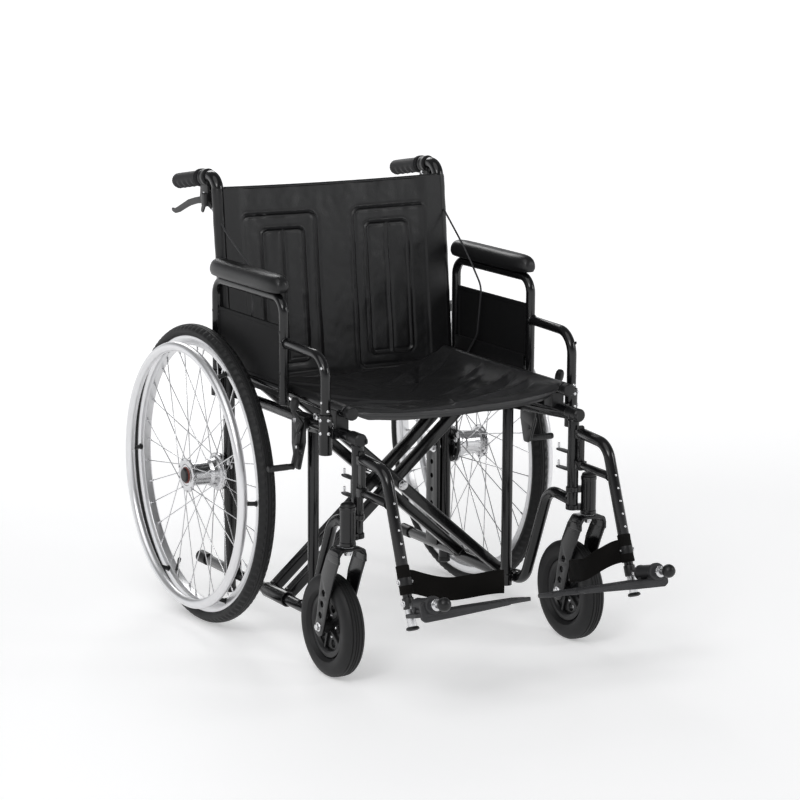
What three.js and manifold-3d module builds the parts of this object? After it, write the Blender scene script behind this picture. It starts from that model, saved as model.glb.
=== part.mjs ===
// Folding manual wheelchair: two side frames joined by a scissor brace, with slings for seat and back.
// Millimetres, +Z up. The chair faces -Y and the left side is +X. Coordinates below count from a point
// on the floor under the middle of the rear axle; the exported group moves them to the box's centre.
// The left half is modelled, and the right half is its mirror image.
import * as THREE from 'three';
import { mergeVertices } from 'three/addons/utils/BufferGeometryUtils.js';
import Module from 'manifold-3d';

const wasm = await Module();
wasm.setup();

// ---- driving dimensions ----
const GAP = 0.35;                 // clearance between separate pieces
const AXLE_Y = 278.59;            // rear axle, behind the centre of the whole chair
const TUBE = 11.1;                // radius of the 22.2 mm frame tube
const ARM_TUBE = 9.5;             // radius of the 19 mm armrest tube
const CANE_TUBE = 12;             // radius of the back cane

const WHEEL_R = 305;              // 24 inch rear wheel
const WHEEL_X = 314;
const RIM_R = 281;
const RIM_INNER_R = 264;
const HANDRIM_X = 353;
const HANDRIM_R = 262;
const HANDRIM_TUBE = 10;
const HANDRIM_TABS = 6;
const SPOKES = 36;
const SPOKE_HUB_R = 33;
const SPOKE_LEAD = 0.6;           // radians a spoke runs round the hub before it leaves
const SPOKE_R = 1.1;
const SPOKE_OFFSET = 1.4;         // crossing spokes pass each other by twice this
const SPOKE_SPREAD = 3;           // spoke holes either side of the rim's middle
const HUB_R = 22;
const HUB_IN = 274.5;
const HUB_OUT = 349;
const FLANGE_R = 39;
const FLANGE_IN = 279;
const FLANGE_OUT = 347;
const AXLE_R = 6;
const WHEEL_SIDES = 36;           // flats round a rear wheel; one lies on the floor
const CASTER_SIDES = 20;

const RAIL_X = 244.6;             // lower rail
const RAIL_Z = 90;
const SIDE_X = 244;               // upper side tube
const SIDE_Z = 468;
const SEAT_X = 242.5;             // seat rail, carried by the brace
const SEAT_Z = 512;
const POST_X = 242;               // front post
const POST_Y = -523;
const MID_X = 223;                // middle post
const MID_Y = -311;
const CANE_X = 255.5;
const CANE_Y = -10;

const CASTER_R = 100;             // 8 inch caster
const CASTER_X = 270.5;
const CASTER_Y = -478;
const CASTER_W = 44;
const STEM_Y = -537;
const HOUSING_R = 15;
const HOUSING_LOW = 268;
const HOUSING_TOP = 345;

const ARM_X = 280.5;              // armrest plane
const ARM_REAR_Y = -8;
const ARM_FRONT_Y = -299;
const ARM_POST_Y = -460;
const ARM_POST_X = 276.3;
const ARM_TOP_Z = 704;
const ARM_STEP_Z = 619;
const ARM_PLAY = 0.8;             // the lift-off armrest is loose in its sockets
const SOCKET_R = 12.6;
const ARM_CROSS_Z = 526;
const PAD_HALF = 24;
const PAD_LIFT = 10.5;            // pad underside above the tube's axis
const PAD_DEPTH = 33;

const HANGER_X = 245;
const HANGER_LEAN = Math.atan2(53, 143);   // foot tube, off the vertical
const BRACE_PIVOT_Z = RAIL_Z + (SEAT_Z - RAIL_Z) * RAIL_X / (RAIL_X + SEAT_X);   // crossing of the two arms
const FOOT_TUBE = 9;
const FOOT_HINGE_X = 245;
const FOOT_HINGE_Y = -780;
const FOOT_HINGE_Z = 208;
const FOOT_PITCH = 15;            // degrees; the footplate's front edge is raised
const BOARD_DROP = 20;            // underside of the footboard below its hinge
const BOARD_THICK = 8;
const BARREL_R = 15;
const BRACE_A_Y = [-232, -170];   // tubes of the arm that carries the left seat rail
const BRACE_B_Y = [-262, -105];   // tubes of the arm that carries the right seat rail
const BOLT_R = 4.5;
const SLEEVE_R = 15.5;            // the brace arms' sleeves round the lower rails
const CAP_R = 12.5;               // plastic end caps of the rails
const SEAT_SAG = 42;
const SEAT_THICK = 3.5;
const SEAT_DEPTH = 450;
const SEAT_REAR_Y = -30;

// ---- finishes ----
const finish = (color, roughness, metalness) => ({ color, roughness, metalness });
const GLOSS_BLACK = finish(0x111112, 0.22, 0.1);
const VINYL = finish(0x1a1a1b, 0.45, 0);
const FABRIC = finish(0x1d1c1c, 0.85, 0);
const RUBBER = finish(0x2a2a2b, 0.8, 0);
const GRIP = finish(0x232324, 0.75, 0);
const PAD = finish(0x19191a, 0.5, 0);
const PLASTIC = finish(0x161617, 0.5, 0);
const COMPOSITE = finish(0x3b3b3e, 0.6, 0);
const ALLOY = finish(0xcfd0d2, 0.35, 0.8);
const STEEL = finish(0xc4c5c8, 0.25, 0.9);
const CABLE = finish(0x3a3a3c, 0.5, 0);

// ---- solids ----
const v3 = (x, y, z) => new THREE.Vector3(x, y, z);

/** A closed geometry as a manifold solid. */
function solid(geometry) {
  const bare = geometry.clone();
  bare.deleteAttribute('normal');
  bare.deleteAttribute('uv');
  const merged = mergeVertices(bare, 1e-3);
  return new wasm.Manifold(new wasm.Mesh({
    numProp: 3,
    vertProperties: Float32Array.from(merged.attributes.position.array),
    triVerts: Uint32Array.from(merged.index.array),
  }));
}

/** A manifold solid back as a geometry. */
function geometryOf(body) {
  const mesh = body.getMesh();
  const geometry = new THREE.BufferGeometry();
  geometry.setAttribute('position', new THREE.BufferAttribute(mesh.vertProperties, 3));
  geometry.setIndex(new THREE.BufferAttribute(mesh.triVerts, 1));
  return geometry;
}

const join = (...bodies) => bodies.flat().reduce((whole, body) => whole.add(body));
const cut = (body, ...tools) => tools.flat().reduce((rest, tool) => rest.subtract(tool), body);

/** A path of straight runs joined by round bends, sampled only at its ends and round its bends. */
class BentPath extends THREE.Curve {
  constructor(corners, bendRadius, bendSteps = 4) {
    super();
    this.stations = [];
    corners.forEach((corner, i) => {
      const before = corners[i - 1];
      const after = corners[i + 1];
      if (!before || !after) {
        const way = after ? after.clone().sub(corner) : corner.clone().sub(before);
        this.stations.push({ point: corner, way: way.normalize() });
        return;
      }
      const into = corner.clone().sub(before).normalize();
      const out = after.clone().sub(corner).normalize();
      const turn = into.angleTo(out);
      const reach = Math.min(
        bendRadius * Math.tan(turn / 2),
        0.49 * corner.distanceTo(before),
        0.49 * corner.distanceTo(after),
      );
      const radius = reach / Math.tan(turn / 2);
      const start = corner.clone().addScaledVector(into, -reach);
      const axis = into.clone().cross(out).normalize();
      const inward = axis.clone().cross(into);
      const centre = start.clone().addScaledVector(inward, radius);
      for (let k = 0; k <= bendSteps; k += 1) {
        const angle = turn * k / bendSteps;
        const arm = inward.clone().negate().applyAxisAngle(axis, angle);
        this.stations.push({
          point: centre.clone().addScaledVector(arm, radius),
          way: into.clone().applyAxisAngle(axis, angle),
        });
      }
    });
  }

  get steps() { return this.stations.length - 1; }

  station(t) { return this.stations[Math.round(t * this.steps)]; }

  getPoint(t) { return this.station(t).point.clone(); }

  getPointAt(u) { return this.getPoint(u); }

  getTangent(t) { return this.station(t).way.clone(); }

  getTangentAt(u) { return this.getTangent(u); }
}

/** A regular polygon of the given radius, for a round section. */
function polygon(radius, sides) {
  const points = [];
  for (let i = 0; i < sides; i += 1) {
    const angle = 2 * Math.PI * (i + 0.5) / sides;
    points.push(new THREE.Vector2(radius * Math.cos(angle), radius * Math.sin(angle)));
  }
  return new THREE.Shape(points);
}

/** A round bar along straight runs and bends. */
function bar(corners, radius, bendRadius = 45, sides = 10, bendSteps = 4) {
  const path = new BentPath(corners, bendRadius, bendSteps);
  return solid(new THREE.ExtrudeGeometry(polygon(radius, sides), { steps: path.steps, extrudePath: path }));
}

/** A closed or open profile of (radius, height) points turned about an axis through a centre. */
function turned(profile, centre, axis = 'z', segments = 20) {
  const grown = profile.map(([r, h]) => new THREE.Vector2(r, h));
  const geometry = new THREE.LatheGeometry(grown, segments, Math.PI / segments);
  if (axis === 'z') geometry.rotateX(Math.PI / 2);
  if (axis === 'x') geometry.rotateZ(-Math.PI / 2);
  geometry.translate(centre.x, centre.y, centre.z);
  return orient(geometry);
}

/** A solid with its faces pointing out, whichever way its profile ran. */
function orient(geometry) {
  const body = solid(geometry);
  if (body.volume() > 0) return body;
  const index = geometry.index.array;
  for (let i = 0; i < index.length; i += 3) {
    [index[i], index[i + 1]] = [index[i + 1], index[i]];
  }
  return solid(geometry);
}

/** A straight round rod between two points. */
const rod = (from, to, radius, sides = 10) => bar([from, to], radius, 1, sides);

/** A box between two corners. */
function block(x0, x1, y0, y1, z0, z1) {
  const geometry = new THREE.BoxGeometry(x1 - x0, y1 - y0, z1 - z0);
  geometry.translate((x0 + x1) / 2, (y0 + y1) / 2, (z0 + z1) / 2);
  return solid(geometry);
}

/** An outline of [y, z] points in a side-on plane, between two x values. */
function sideplate(outline, x0, x1) {
  const shape = new THREE.Shape(outline.map(([y, z]) => new THREE.Vector2(y, z)));
  const geometry = new THREE.ExtrudeGeometry(shape, { depth: x1 - x0, bevelEnabled: false });
  geometry.applyMatrix4(new THREE.Matrix4().makeBasis(v3(0, 1, 0), v3(0, 0, 1), v3(1, 0, 0)));
  geometry.translate(x0, 0, 0);
  return orient(geometry);
}

/** A flat bar from one point to another in a side-on plane. */
function strap(y0, z0, y1, z1, width, x0, x1) {
  const along = new THREE.Vector2(y1 - y0, z1 - z0).normalize().multiplyScalar(width / 2);
  const [dy, dz] = [-along.y, along.x];
  return sideplate([
    [y0 - along.x + dy * 0.5, z0 - along.y + dz * 0.5],
    [y0 + dy, z0 + dz],
    [y1 + dy, z1 + dz],
    [y1 + along.x + dy * 0.5, z1 + along.y + dz * 0.5],
    [y1 + along.x - dy * 0.5, z1 + along.y - dz * 0.5],
    [y1 - dy, z1 - dz],
    [y0 - dy, z0 - dz],
    [y0 - along.x - dy * 0.5, z0 - along.y - dz * 0.5],
  ], x0, x1);
}

/** A point on the leaning foot tube at a height. */
function onHanger(z) {
  const [topY, topZ] = [-654, 382];
  return v3(HANGER_X, topY - (topZ - z) * Math.tan(HANGER_LEAN), z);
}

// ---- left half ----

const caneCorners = (past = 0) => [
  v3(CANE_X, CANE_Y, 60),
  v3(CANE_X, CANE_Y, 500),
  v3(256.5, 28, 845),
  v3(257, 35.5, 905),
  v3(258, 213 + past, 875.7 - 0.16 * past),
];

function sideFrame() {
  const lowerRail = bar([
    v3(RAIL_X, 150, RAIL_Z),
    v3(RAIL_X, -347, RAIL_Z),
    v3(RAIL_X, -434, 300),
    v3(POST_X, POST_Y, 294),
  ], TUBE, 45);
  const tipCap = rod(v3(RAIL_X, 151, RAIL_Z), v3(RAIL_X, 112, RAIL_Z), CAP_R);
  const frontPost = rod(v3(POST_X, POST_Y, 277), v3(POST_X, POST_Y, SIDE_Z), TUBE);
  const sideTube = rod(v3(SIDE_X, CANE_Y, SIDE_Z), v3(SIDE_X, -541, SIDE_Z), TUBE);
  const frontCap = rod(v3(SIDE_X, -524, SIDE_Z), v3(SIDE_X, -541.5, SIDE_Z), 13);
  const midPost = rod(v3(MID_X, MID_Y, 84), v3(MID_X, MID_Y, 450), TUBE);
  const stay = strap(-311, 449, -539, 466, 13, 232, 236);
  const stayBolt = rod(v3(229, -545, 466.6), v3(237, -545, 466.6), 5, 6);
  const housing = turned([
    [0, HOUSING_LOW], [HOUSING_R, HOUSING_LOW], [HOUSING_R, HOUSING_TOP],
    [12, HOUSING_TOP + 5], [6, HOUSING_TOP + 7.5], [0, HOUSING_TOP + 8],
  ], v3(CASTER_X, STEM_Y, 0), 'z', 14);
  const stemBore = rod(v3(CASTER_X, STEM_Y, HOUSING_LOW - 1), v3(CASTER_X, STEM_Y, 332), 7.5, 12);
  const webs = [282, 318].map((z) => block(248, 262, -536, -522, z - 6, z + 6));
  const saddles = [-450, -60].map((y) => block(229, 256, y - 16, y + 16, SIDE_Z + 5, SEAT_Z));
  const saddleCradle = rod(v3(SEAT_X, -600, SEAT_Z), v3(SEAT_X, 60, SEAT_Z), TUBE + 1, 10);
  const axlePlate = sideplate([
    [-16, RAIL_Z], [30, RAIL_Z], [30, 322], [20, 334], [-6, 334], [-16, 322],
  ], 232.5, 240);
  const axleBore = rod(v3(200, 0, WHEEL_R), v3(400, 0, WHEEL_R), AXLE_R + GAP, 12);
  const socket = rod(v3(ARM_POST_X, ARM_POST_Y, 429), v3(ARM_POST_X, ARM_POST_Y, 506), SOCKET_R, 12);
  const socketBridge = block(252, 270, ARM_POST_Y - 9, ARM_POST_Y + 9, 460, 476);
  const inSocket = (z) => v3(ARM_POST_X, ARM_POST_Y, z);
  const socketBore = rod(inSocket(440), inSocket(510), ARM_TUBE + ARM_PLAY, 10);
  const caneRoom = bar(caneCorners().slice(0, 3), CANE_TUBE + 2 * GAP, 60, 10);
  const whole = join(lowerRail, tipCap, frontPost, sideTube, frontCap, midPost, stay, stayBolt,
    housing, webs, saddles, axlePlate, socket, socketBridge);
  return cut(whole, stemBore, saddleCradle, axleBore, socketBore, caneRoom);
}

function backCane() {
  const cane = bar(caneCorners(), CANE_TUBE, 45, 10, 3);
  const socket = rod(v3(ARM_X, ARM_REAR_Y, 466), v3(ARM_X, ARM_REAR_Y, 519), SOCKET_R, 12);
  const bridge = block(262, 272, ARM_REAR_Y - 8, ARM_REAR_Y + 8, 474, 512);
  const bore = rod(v3(ARM_X, ARM_REAR_Y, 476), v3(ARM_X, ARM_REAR_Y, 530), ARM_TUBE + ARM_PLAY, 10);
  const axleBore = rod(v3(200, 0, WHEEL_R), v3(400, 0, WHEEL_R), AXLE_R + GAP, 12);
  return cut(join(cane, socket, bridge), bore, axleBore);
}

const gripAxis = () => [v3(257.3, 96, 895), v3(258, 217.5, 875)];

function pushGrip() {
  const [front, back] = gripAxis();
  const way = back.clone().sub(front).normalize();
  const at = (d) => front.clone().addScaledVector(way, d);
  const length = front.distanceTo(back);
  const sleeve = rod(at(0), at(length), 16.5, 10);
  const collar = rod(at(1), at(6), 18.5, 10);
  const bore = bar(caneCorners(1), CANE_TUBE + GAP, 45, 10, 3);
  return cut(join(sleeve, collar), bore);
}

function brakeLeverMount() {
  const clamp = rod(v3(257, 72, 898.5), v3(257, 92, 895.3), 17, 10);
  const body = block(249, 277, 66, 92, 848, 888);
  const nose = rod(v3(273, 52, 862), v3(273, 70, 862), 5, 8);
  const bore = bar(caneCorners(), CANE_TUBE + GAP, 45, 10, 3);
  const slot = block(253.6, 260.4, 75, 100, 840, 871);
  return cut(join(clamp, body, nose), bore, slot);
}

function brakeLever() {
  const blade = sideplate([
    [78, 868], [90, 866], [104, 852], [150, 836], [200, 824], [217, 814],
    [212, 808], [196, 815], [146, 826], [98, 840], [80, 856],
  ], 254, 260);
  return cut(blade, block(250, 270, 60, 100, 868, 900));
}

function brakeCable() {
  const path = [
    v3(273, 51.5, 862), v3(272, 0, 860), v3(252, -50, 820), v3(251, -98, 749), v3(251, -134, 662),
    v3(262, -118, 560), v3(264, -56, 490), v3(266, -34, 400), v3(271, -34, 324.5),
  ];
  return bar(path, 2, 60, 6, 2);
}

function drumPlate() {
  const disc = rod(v3(268.4, 0, WHEEL_R), v3(273.6, 0, WHEEL_R), 37, 20);
  const axle = rod(v3(229, 0, WHEEL_R), v3(350, 0, WHEEL_R), AXLE_R, 12);
  const nut = rod(v3(224, 0, WHEEL_R), v3(231.8, 0, WHEEL_R), 10, 6);
  const caneRoom = rod(v3(CANE_X, CANE_Y, 200), v3(CANE_X, CANE_Y, 400), CANE_TUBE + GAP, 12);
  return join(cut(disc, caneRoom), axle, nut);
}

/** The bare barrel of the hub, with its dust cap on the outer end. */
function rearHub() {
  const barrel = turned([
    [0, HUB_IN], [HUB_R, HUB_IN], [HUB_R, HUB_OUT], [15, HUB_OUT], [15, HUB_OUT + 3],
    [12, HUB_OUT + 6], [0, HUB_OUT + 6.5],
  ], v3(0, 0, WHEEL_R), 'x', 16);
  const bore = rod(v3(260, 0, WHEEL_R), v3(HUB_OUT + 1.6, 0, WHEEL_R), AXLE_R + 3 * GAP, 8);
  return cut(barrel, bore);
}

/** Both flanges, the sleeve that carries them round the barrel, and the spokes out to the rim. */
function rearSpokes() {
  const low = (HUB_R + GAP) / Math.cos(Math.PI / 16);
  const flanges = turned([
    [low, HUB_IN], [FLANGE_R - 4, HUB_IN], [FLANGE_R, FLANGE_IN - 2], [FLANGE_R, FLANGE_IN + 2],
    [low + 3, FLANGE_IN + 4], [low + 1.5, FLANGE_IN + 7], [low + 1.5, FLANGE_OUT - 3],
    [FLANGE_R - 4, FLANGE_OUT - 2], [FLANGE_R - 4, HUB_OUT], [low, HUB_OUT], [low, HUB_IN],
  ], v3(0, 0, WHEEL_R), 'x', 16);
  const spokes = [];
  for (let i = 0; i < SPOKES; i += 1) {
    const inner = i % 2 === 0;
    const lead = (Math.floor(i / 2) % 2 === 0) ? 1 : -1;
    const rimAngle = 2 * Math.PI * (i + 0.5) / SPOKES;
    const hubAngle = rimAngle - lead * SPOKE_LEAD;
    const hubX = (inner ? FLANGE_IN : FLANGE_OUT) + lead * SPOKE_OFFSET;
    const hub = v3(hubX, SPOKE_HUB_R * Math.cos(hubAngle), WHEEL_R + SPOKE_HUB_R * Math.sin(hubAngle));
    const end = RIM_INNER_R * Math.cos(Math.PI / WHEEL_SIDES) - 1.2;
    const rimX = WHEEL_X + (inner ? -SPOKE_SPREAD : SPOKE_SPREAD);
    const rim = v3(rimX, end * Math.cos(rimAngle), WHEEL_R + end * Math.sin(rimAngle));
    spokes.push(rod(hub, rim, SPOKE_R, 3));
  }
  return join(flanges, spokes);
}

function rearRim() {
  const face = 1 / Math.cos(Math.PI / WHEEL_SIDES);
  return turned([
    [RIM_INNER_R * face, WHEEL_X - 9], [(RIM_R - 7) * face, WHEEL_X - 13], [RIM_R * face, WHEEL_X - 12.5],
    [(RIM_R - 5) * face, WHEEL_X - 8], [(RIM_R - 5) * face, WHEEL_X + 8], [RIM_R * face, WHEEL_X + 12.5],
    [(RIM_R - 7) * face, WHEEL_X + 13], [RIM_INNER_R * face, WHEEL_X + 9],
    [RIM_INNER_R * face, WHEEL_X - 9],
  ], v3(0, 0, WHEEL_R), 'x', WHEEL_SIDES);
}

function rearTyre() {
  const face = 1 / Math.cos(Math.PI / WHEEL_SIDES);
  const low = (RIM_R + GAP) * face;
  return turned([
    [low, WHEEL_X - 12], [(RIM_R + 8) * face, WHEEL_X - 17.5], [(RIM_R + 19) * face, WHEEL_X - 15.5],
    [(WHEEL_R - 2) * face, WHEEL_X - 9], [WHEEL_R * face, WHEEL_X - 4.5], [WHEEL_R * face, WHEEL_X + 4.5],
    [(WHEEL_R - 2) * face, WHEEL_X + 9], [(RIM_R + 19) * face, WHEEL_X + 15.5],
    [(RIM_R + 8) * face, WHEEL_X + 17.5], [low, WHEEL_X + 12], [low, WHEEL_X - 12],
  ], v3(0, 0, WHEEL_R), 'x', WHEEL_SIDES);
}

function handrim() {
  const ring = [];
  for (let i = 0; i <= 8; i += 1) {
    const angle = 2 * Math.PI * (i + 0.5) / 8;
    ring.push([HANDRIM_R + HANDRIM_TUBE * Math.cos(angle), HANDRIM_X + HANDRIM_TUBE * Math.sin(angle)]);
  }
  ring[8] = ring[0];
  const tabs = [];
  for (let i = 0; i < HANDRIM_TABS; i += 1) {
    const angle = 2 * Math.PI * (i + 0.25) / HANDRIM_TABS;
    const place = (x, r) => v3(x, r * Math.cos(angle), WHEEL_R + r * Math.sin(angle));
    tabs.push(bar([
      place(HANDRIM_X, HANDRIM_R - 6), place(340, HANDRIM_R + 1), place(WHEEL_X + 14.5, RIM_INNER_R + 8),
    ], 4, 6, 6, 1));
  }
  return join(turned(ring, v3(0, 0, WHEEL_R), 'x', WHEEL_SIDES), tabs);
}

function casterFork() {
  const crown = sideplate([
    [-556, 262], [-556, 250], [-534, 246], [-520, 246], [-512, 252], [-516, 262], [-526, 266], [-548, 266],
  ], CASTER_X - 27, CASTER_X + 27);
  const arm = (x0) => sideplate([
    [-554, 264], [-556, 246], [-538, 210], [-516, 160], [-496, 100], [-490, 86], [-478, 80], [-466, 86],
    [-463, 100], [-470, 120], [-478, 160], [-490, 210], [-510, 248], [-520, 264],
  ], x0, x0 + 4);
  const holes = [125, 148, 171].map((z) => {
    const y = -478 - (z - 100) * 0.27;
    return rod(v3(CASTER_X - 40, y, z), v3(CASTER_X + 40, y, z), 6, 8);
  });
  const axle = rod(v3(CASTER_X - 34, CASTER_Y, CASTER_R), v3(CASTER_X + 34, CASTER_Y, CASTER_R), 5, 8);
  const heads = [-1, 1].map((end) => rod(
    v3(CASTER_X + end * 31, CASTER_Y, CASTER_R), v3(CASTER_X + end * 35.5, CASTER_Y, CASTER_R), 9, 6));
  const stem = rod(v3(CASTER_X, STEM_Y, 258), v3(CASTER_X, STEM_Y, 331), 7, 12);
  const arms = cut(join(arm(CASTER_X - 31), arm(CASTER_X + 27)), holes);
  return join(arms, crown, axle, heads, stem);
}

function casterHub() {
  const half = CASTER_W / 2 + 2.5;
  const bearings = turned([[0, -half], [12, -half], [14, -13], [14, 13], [12, half], [0, half], [0, -half]],
    v3(CASTER_X, CASTER_Y, CASTER_R), 'x', 16);
  const disc = turned([[0, -9], [62, -9], [62, 9], [0, 9], [0, -9]],
    v3(CASTER_X, CASTER_Y, CASTER_R), 'x', CASTER_SIDES);
  const holes = [];
  for (let i = 0; i < 5; i += 1) {
    const angle = 2 * Math.PI * (i + 0.5) / 5;
    const [y, z] = [CASTER_Y + 36 * Math.cos(angle), CASTER_R + 36 * Math.sin(angle)];
    holes.push(rod(v3(CASTER_X - 30, y, z), v3(CASTER_X + 30, y, z), 7.5, 6));
  }
  const bore = rod(v3(CASTER_X - 50, CASTER_Y, CASTER_R), v3(CASTER_X + 50, CASTER_Y, CASTER_R), 5.4, 8);
  return cut(join(bearings, cut(disc, holes)), bore);
}

function casterTyre() {
  const face = 1 / Math.cos(Math.PI / CASTER_SIDES);
  const half = CASTER_W / 2;
  return turned([
    [62.4 * face, -10], [70 * face, -half + 2], [84 * face, -half], [95 * face, -half + 5],
    [CASTER_R * face, -half + 14], [CASTER_R * face, half - 14], [95 * face, half - 5],
    [84 * face, half], [70 * face, half - 2], [62.4 * face, 10], [62.4 * face, -10],
  ], v3(CASTER_X, CASTER_Y, CASTER_R), 'x', CASTER_SIDES);
}

function armrestFrame() {
  const loop = bar([
    v3(ARM_X, ARM_REAR_Y, 477), v3(ARM_X, ARM_REAR_Y, ARM_TOP_Z), v3(ARM_X, ARM_FRONT_Y, ARM_TOP_Z),
    v3(ARM_X, ARM_FRONT_Y, 500),
  ], ARM_TUBE, 32, 8, 3);
  const step = bar([
    v3(ARM_X, ARM_FRONT_Y, ARM_STEP_Z), v3(ARM_POST_X, ARM_POST_Y, ARM_STEP_Z - 3),
    v3(ARM_POST_X, ARM_POST_Y, 441),
  ], ARM_TUBE, 45, 8, 3);
  const cross = rod(v3(ARM_X, ARM_REAR_Y, ARM_CROSS_Z), v3(ARM_X, ARM_FRONT_Y, ARM_CROSS_Z), 6, 8);
  return join(loop, step, cross);
}

function armPad() {
  const half = PAD_HALF;
  const shape = new THREE.Shape();
  shape.moveTo(-half, -14);
  shape.lineTo(-half, -276);
  shape.quadraticCurveTo(-half, -300, 0, -300);
  shape.quadraticCurveTo(half, -300, half, -276);
  shape.lineTo(half, -14);
  shape.quadraticCurveTo(half, 0, 0, 0);
  shape.quadraticCurveTo(-half, 0, -half, -14);
  const settings = { depth: PAD_DEPTH, bevelEnabled: false, curveSegments: 4 };
  const geometry = new THREE.ExtrudeGeometry(shape, settings);
  geometry.translate(ARM_X, 0, ARM_TOP_Z + PAD_LIFT);
  const tubeRoom = rod(v3(ARM_X, 40, ARM_TOP_Z), v3(ARM_X, -340, ARM_TOP_Z), ARM_TUBE + GAP, 10);
  return cut(orient(geometry), tubeRoom);
}

const sidePanel = () => block(ARM_X - 3, ARM_X + 3, ARM_FRONT_Y + 10, ARM_REAR_Y - 10, 532.4, 650);

function armLock() {
  const lever = block(257, 262, -446, -394, 485, 491);
  const tab = block(256.5, 262.5, -398, -384, 482, 496);
  return join(lever, tab);
}

function hanger() {
  const upper = bar([
    v3(HANGER_X, -549, 434), v3(HANGER_X, -637, 428), onHanger(228),
  ], TUBE, 42, 12);
  const lower = rod(v3(HANGER_X, -549, 370), v3(HANGER_X, -656, 368), 8, 8);
  const plates = [432, 370].map((z) => block(HANGER_X - 9, HANGER_X + 9, -552, -535.5, z - 10, z + 10));
  const column = block(HANGER_X - 5, HANGER_X + 5, -552, -536, 362, 440);
  const slideBore = rod(onHanger(200), onHanger(340), FOOT_TUBE + 0.5, 10);
  return cut(join(upper, lower, plates, column), slideBore);
}

function hangerLatch() {
  const plate = (z) => block(235, 250, -508, -467, z - 1.5, z + 1.5);
  const pin = (z) => rod(v3(242, -472, z + 1), v3(242, -472, z + 12), 2.5, 6);
  const spine = block(238, 248, -511.4, -506, 350, 393);
  return join(plate(389), plate(354), pin(389), pin(354), spine);
}

/** A body built flat round a footplate hinge at the origin, set in place with its front raised. */
const pitched = (body) => body.rotate([-FOOT_PITCH, 0, 0]).translate([0, FOOT_HINGE_Y, FOOT_HINGE_Z]);

function footTube() {
  const tube = rod(onHanger(305), onHanger(152), FOOT_TUBE, 10);
  const pin = rod(v3(FOOT_HINGE_X, 60, 0), v3(FOOT_HINGE_X, -24, 0), 6, 10);
  return join(tube, pitched(pin));
}

function footplate() {
  const hinge = (y) => v3(FOOT_HINGE_X, y, 0);
  const barrel = rod(hinge(24), hinge(-34), BARREL_R, 14);
  const neck = rod(hinge(-32), hinge(-64), 7, 10);
  const knob = turned([
    [0, 60], [8, 62], [12, 66], [13, 72], [12, 78], [8, 83], [0, 85],
  ], v3(0, 0, 0), 'z', 12).rotate([90, 0, 0]).translate([FOOT_HINGE_X, 0, 0]);
  const outline = [
    [24, 50], [150, 50], [186, 42], [236, 42], [236, 28], [274, 28], [276, -20], [262, -32], [90, -32],
    [24, -12],
  ];
  const shape = new THREE.Shape(outline.map(([x, y]) => new THREE.Vector2(x, y)));
  const board = new THREE.ExtrudeGeometry(shape, { depth: BOARD_THICK, bevelEnabled: false });
  board.translate(0, 0, -BOARD_DROP);
  const cheek = BARREL_R + 0.2;
  const web = block(FOOT_HINGE_X - cheek, FOOT_HINGE_X + cheek, -34, 24, 2 - BOARD_DROP, 0);
  const edge = [
    [92, -14], [96, -22], [200, -28], [268, -30], [270, 8], [238, 8], [228, -14],
  ];
  const lip = new THREE.ExtrudeGeometry(
    new THREE.Shape(edge.map(([x, z]) => new THREE.Vector2(x, z))),
    { depth: 8, bevelEnabled: false },
  );
  lip.rotateX(Math.PI / 2);
  lip.translate(0, -22.5, 0);
  const bore = rod(hinge(70), hinge(-28), 6.4, 10);
  const whole = join(barrel, neck, knob, solid(board), web, orient(lip));
  return pitched(cut(whole, bore));
}

const heelLoop = () => block(30, 234, -718, -710, 200, 246);

function wheelLockBracket() {
  const plate = sideplate([
    [-298, 476], [-352, 476], [-352, 430], [-330, 372], [-312, 372], [-298, 420],
  ], 260, 264);
  const clip = block(255.4, 262, -346, -304, 452, 480);
  const sideRoom = rod(v3(SIDE_X, 0, SIDE_Z), v3(SIDE_X, -600, SIDE_Z), TUBE + GAP, 12);
  return cut(join(plate, clip), sideRoom);
}

function wheelLockLever() {
  const handle = bar([
    v3(269.5, -335, 448), v3(269.5, -350, 470), v3(300, -372, 500), v3(300, -380, 514),
  ], 4, 12, 8, 2);
  const knob = rod(v3(300, -378, 508), v3(300, -384, 524), 9, 10);
  const plate = strap(-335, 450, -326, 418, 16, 265, 268);
  return join(handle, knob, plate);
}

function wheelLockShoe() {
  const arm = strap(-335, 420, -318, 378, 13, 269.5, 273.5);
  const across = rod(v3(270.5, -318, 378), v3(326, -318, 378), 6, 8);
  return join(arm, across);
}

// ---- middle pieces ----

/** One arm of the scissor brace: two tubes, a sleeve on one lower rail and the far seat rail. */
function braceArm(side, tubeY) {
  const low = (y) => v3(-side * RAIL_X, y, RAIL_Z);
  const high = (y) => v3(side * SEAT_X, y, SEAT_Z);
  const tubes = tubeY.map((y) => rod(low(y), high(y), TUBE));
  const [front, rear] = [Math.min(...tubeY) - 13, Math.max(...tubeY) + 13];
  const sleeve = rod(low(front), low(rear), SLEEVE_R, 12);
  const rail = rod(high(-26), high(-500), TUBE);
  const cap = rod(high(-490), high(-507), CAP_R);
  const railRoom = rod(low(-400), low(0), TUBE + 0.6, 10);
  const boltRoom = rod(v3(0, -400, BRACE_PIVOT_Z), v3(0, 0, BRACE_PIVOT_Z), BOLT_R + GAP, 10);
  return cut(join(tubes, sleeve, rail, cap), railRoom, boltRoom);
}

function pivotBolt() {
  const at = (y) => v3(0, y, BRACE_PIVOT_Z);
  const head = rod(at(-281), at(-273.6), 9, 12);
  const shank = rod(at(-275), at(-90), BOLT_R, 10);
  const nut = rod(at(-93.4), at(-87), 8, 6);
  return join(head, shank, nut);
}

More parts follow.
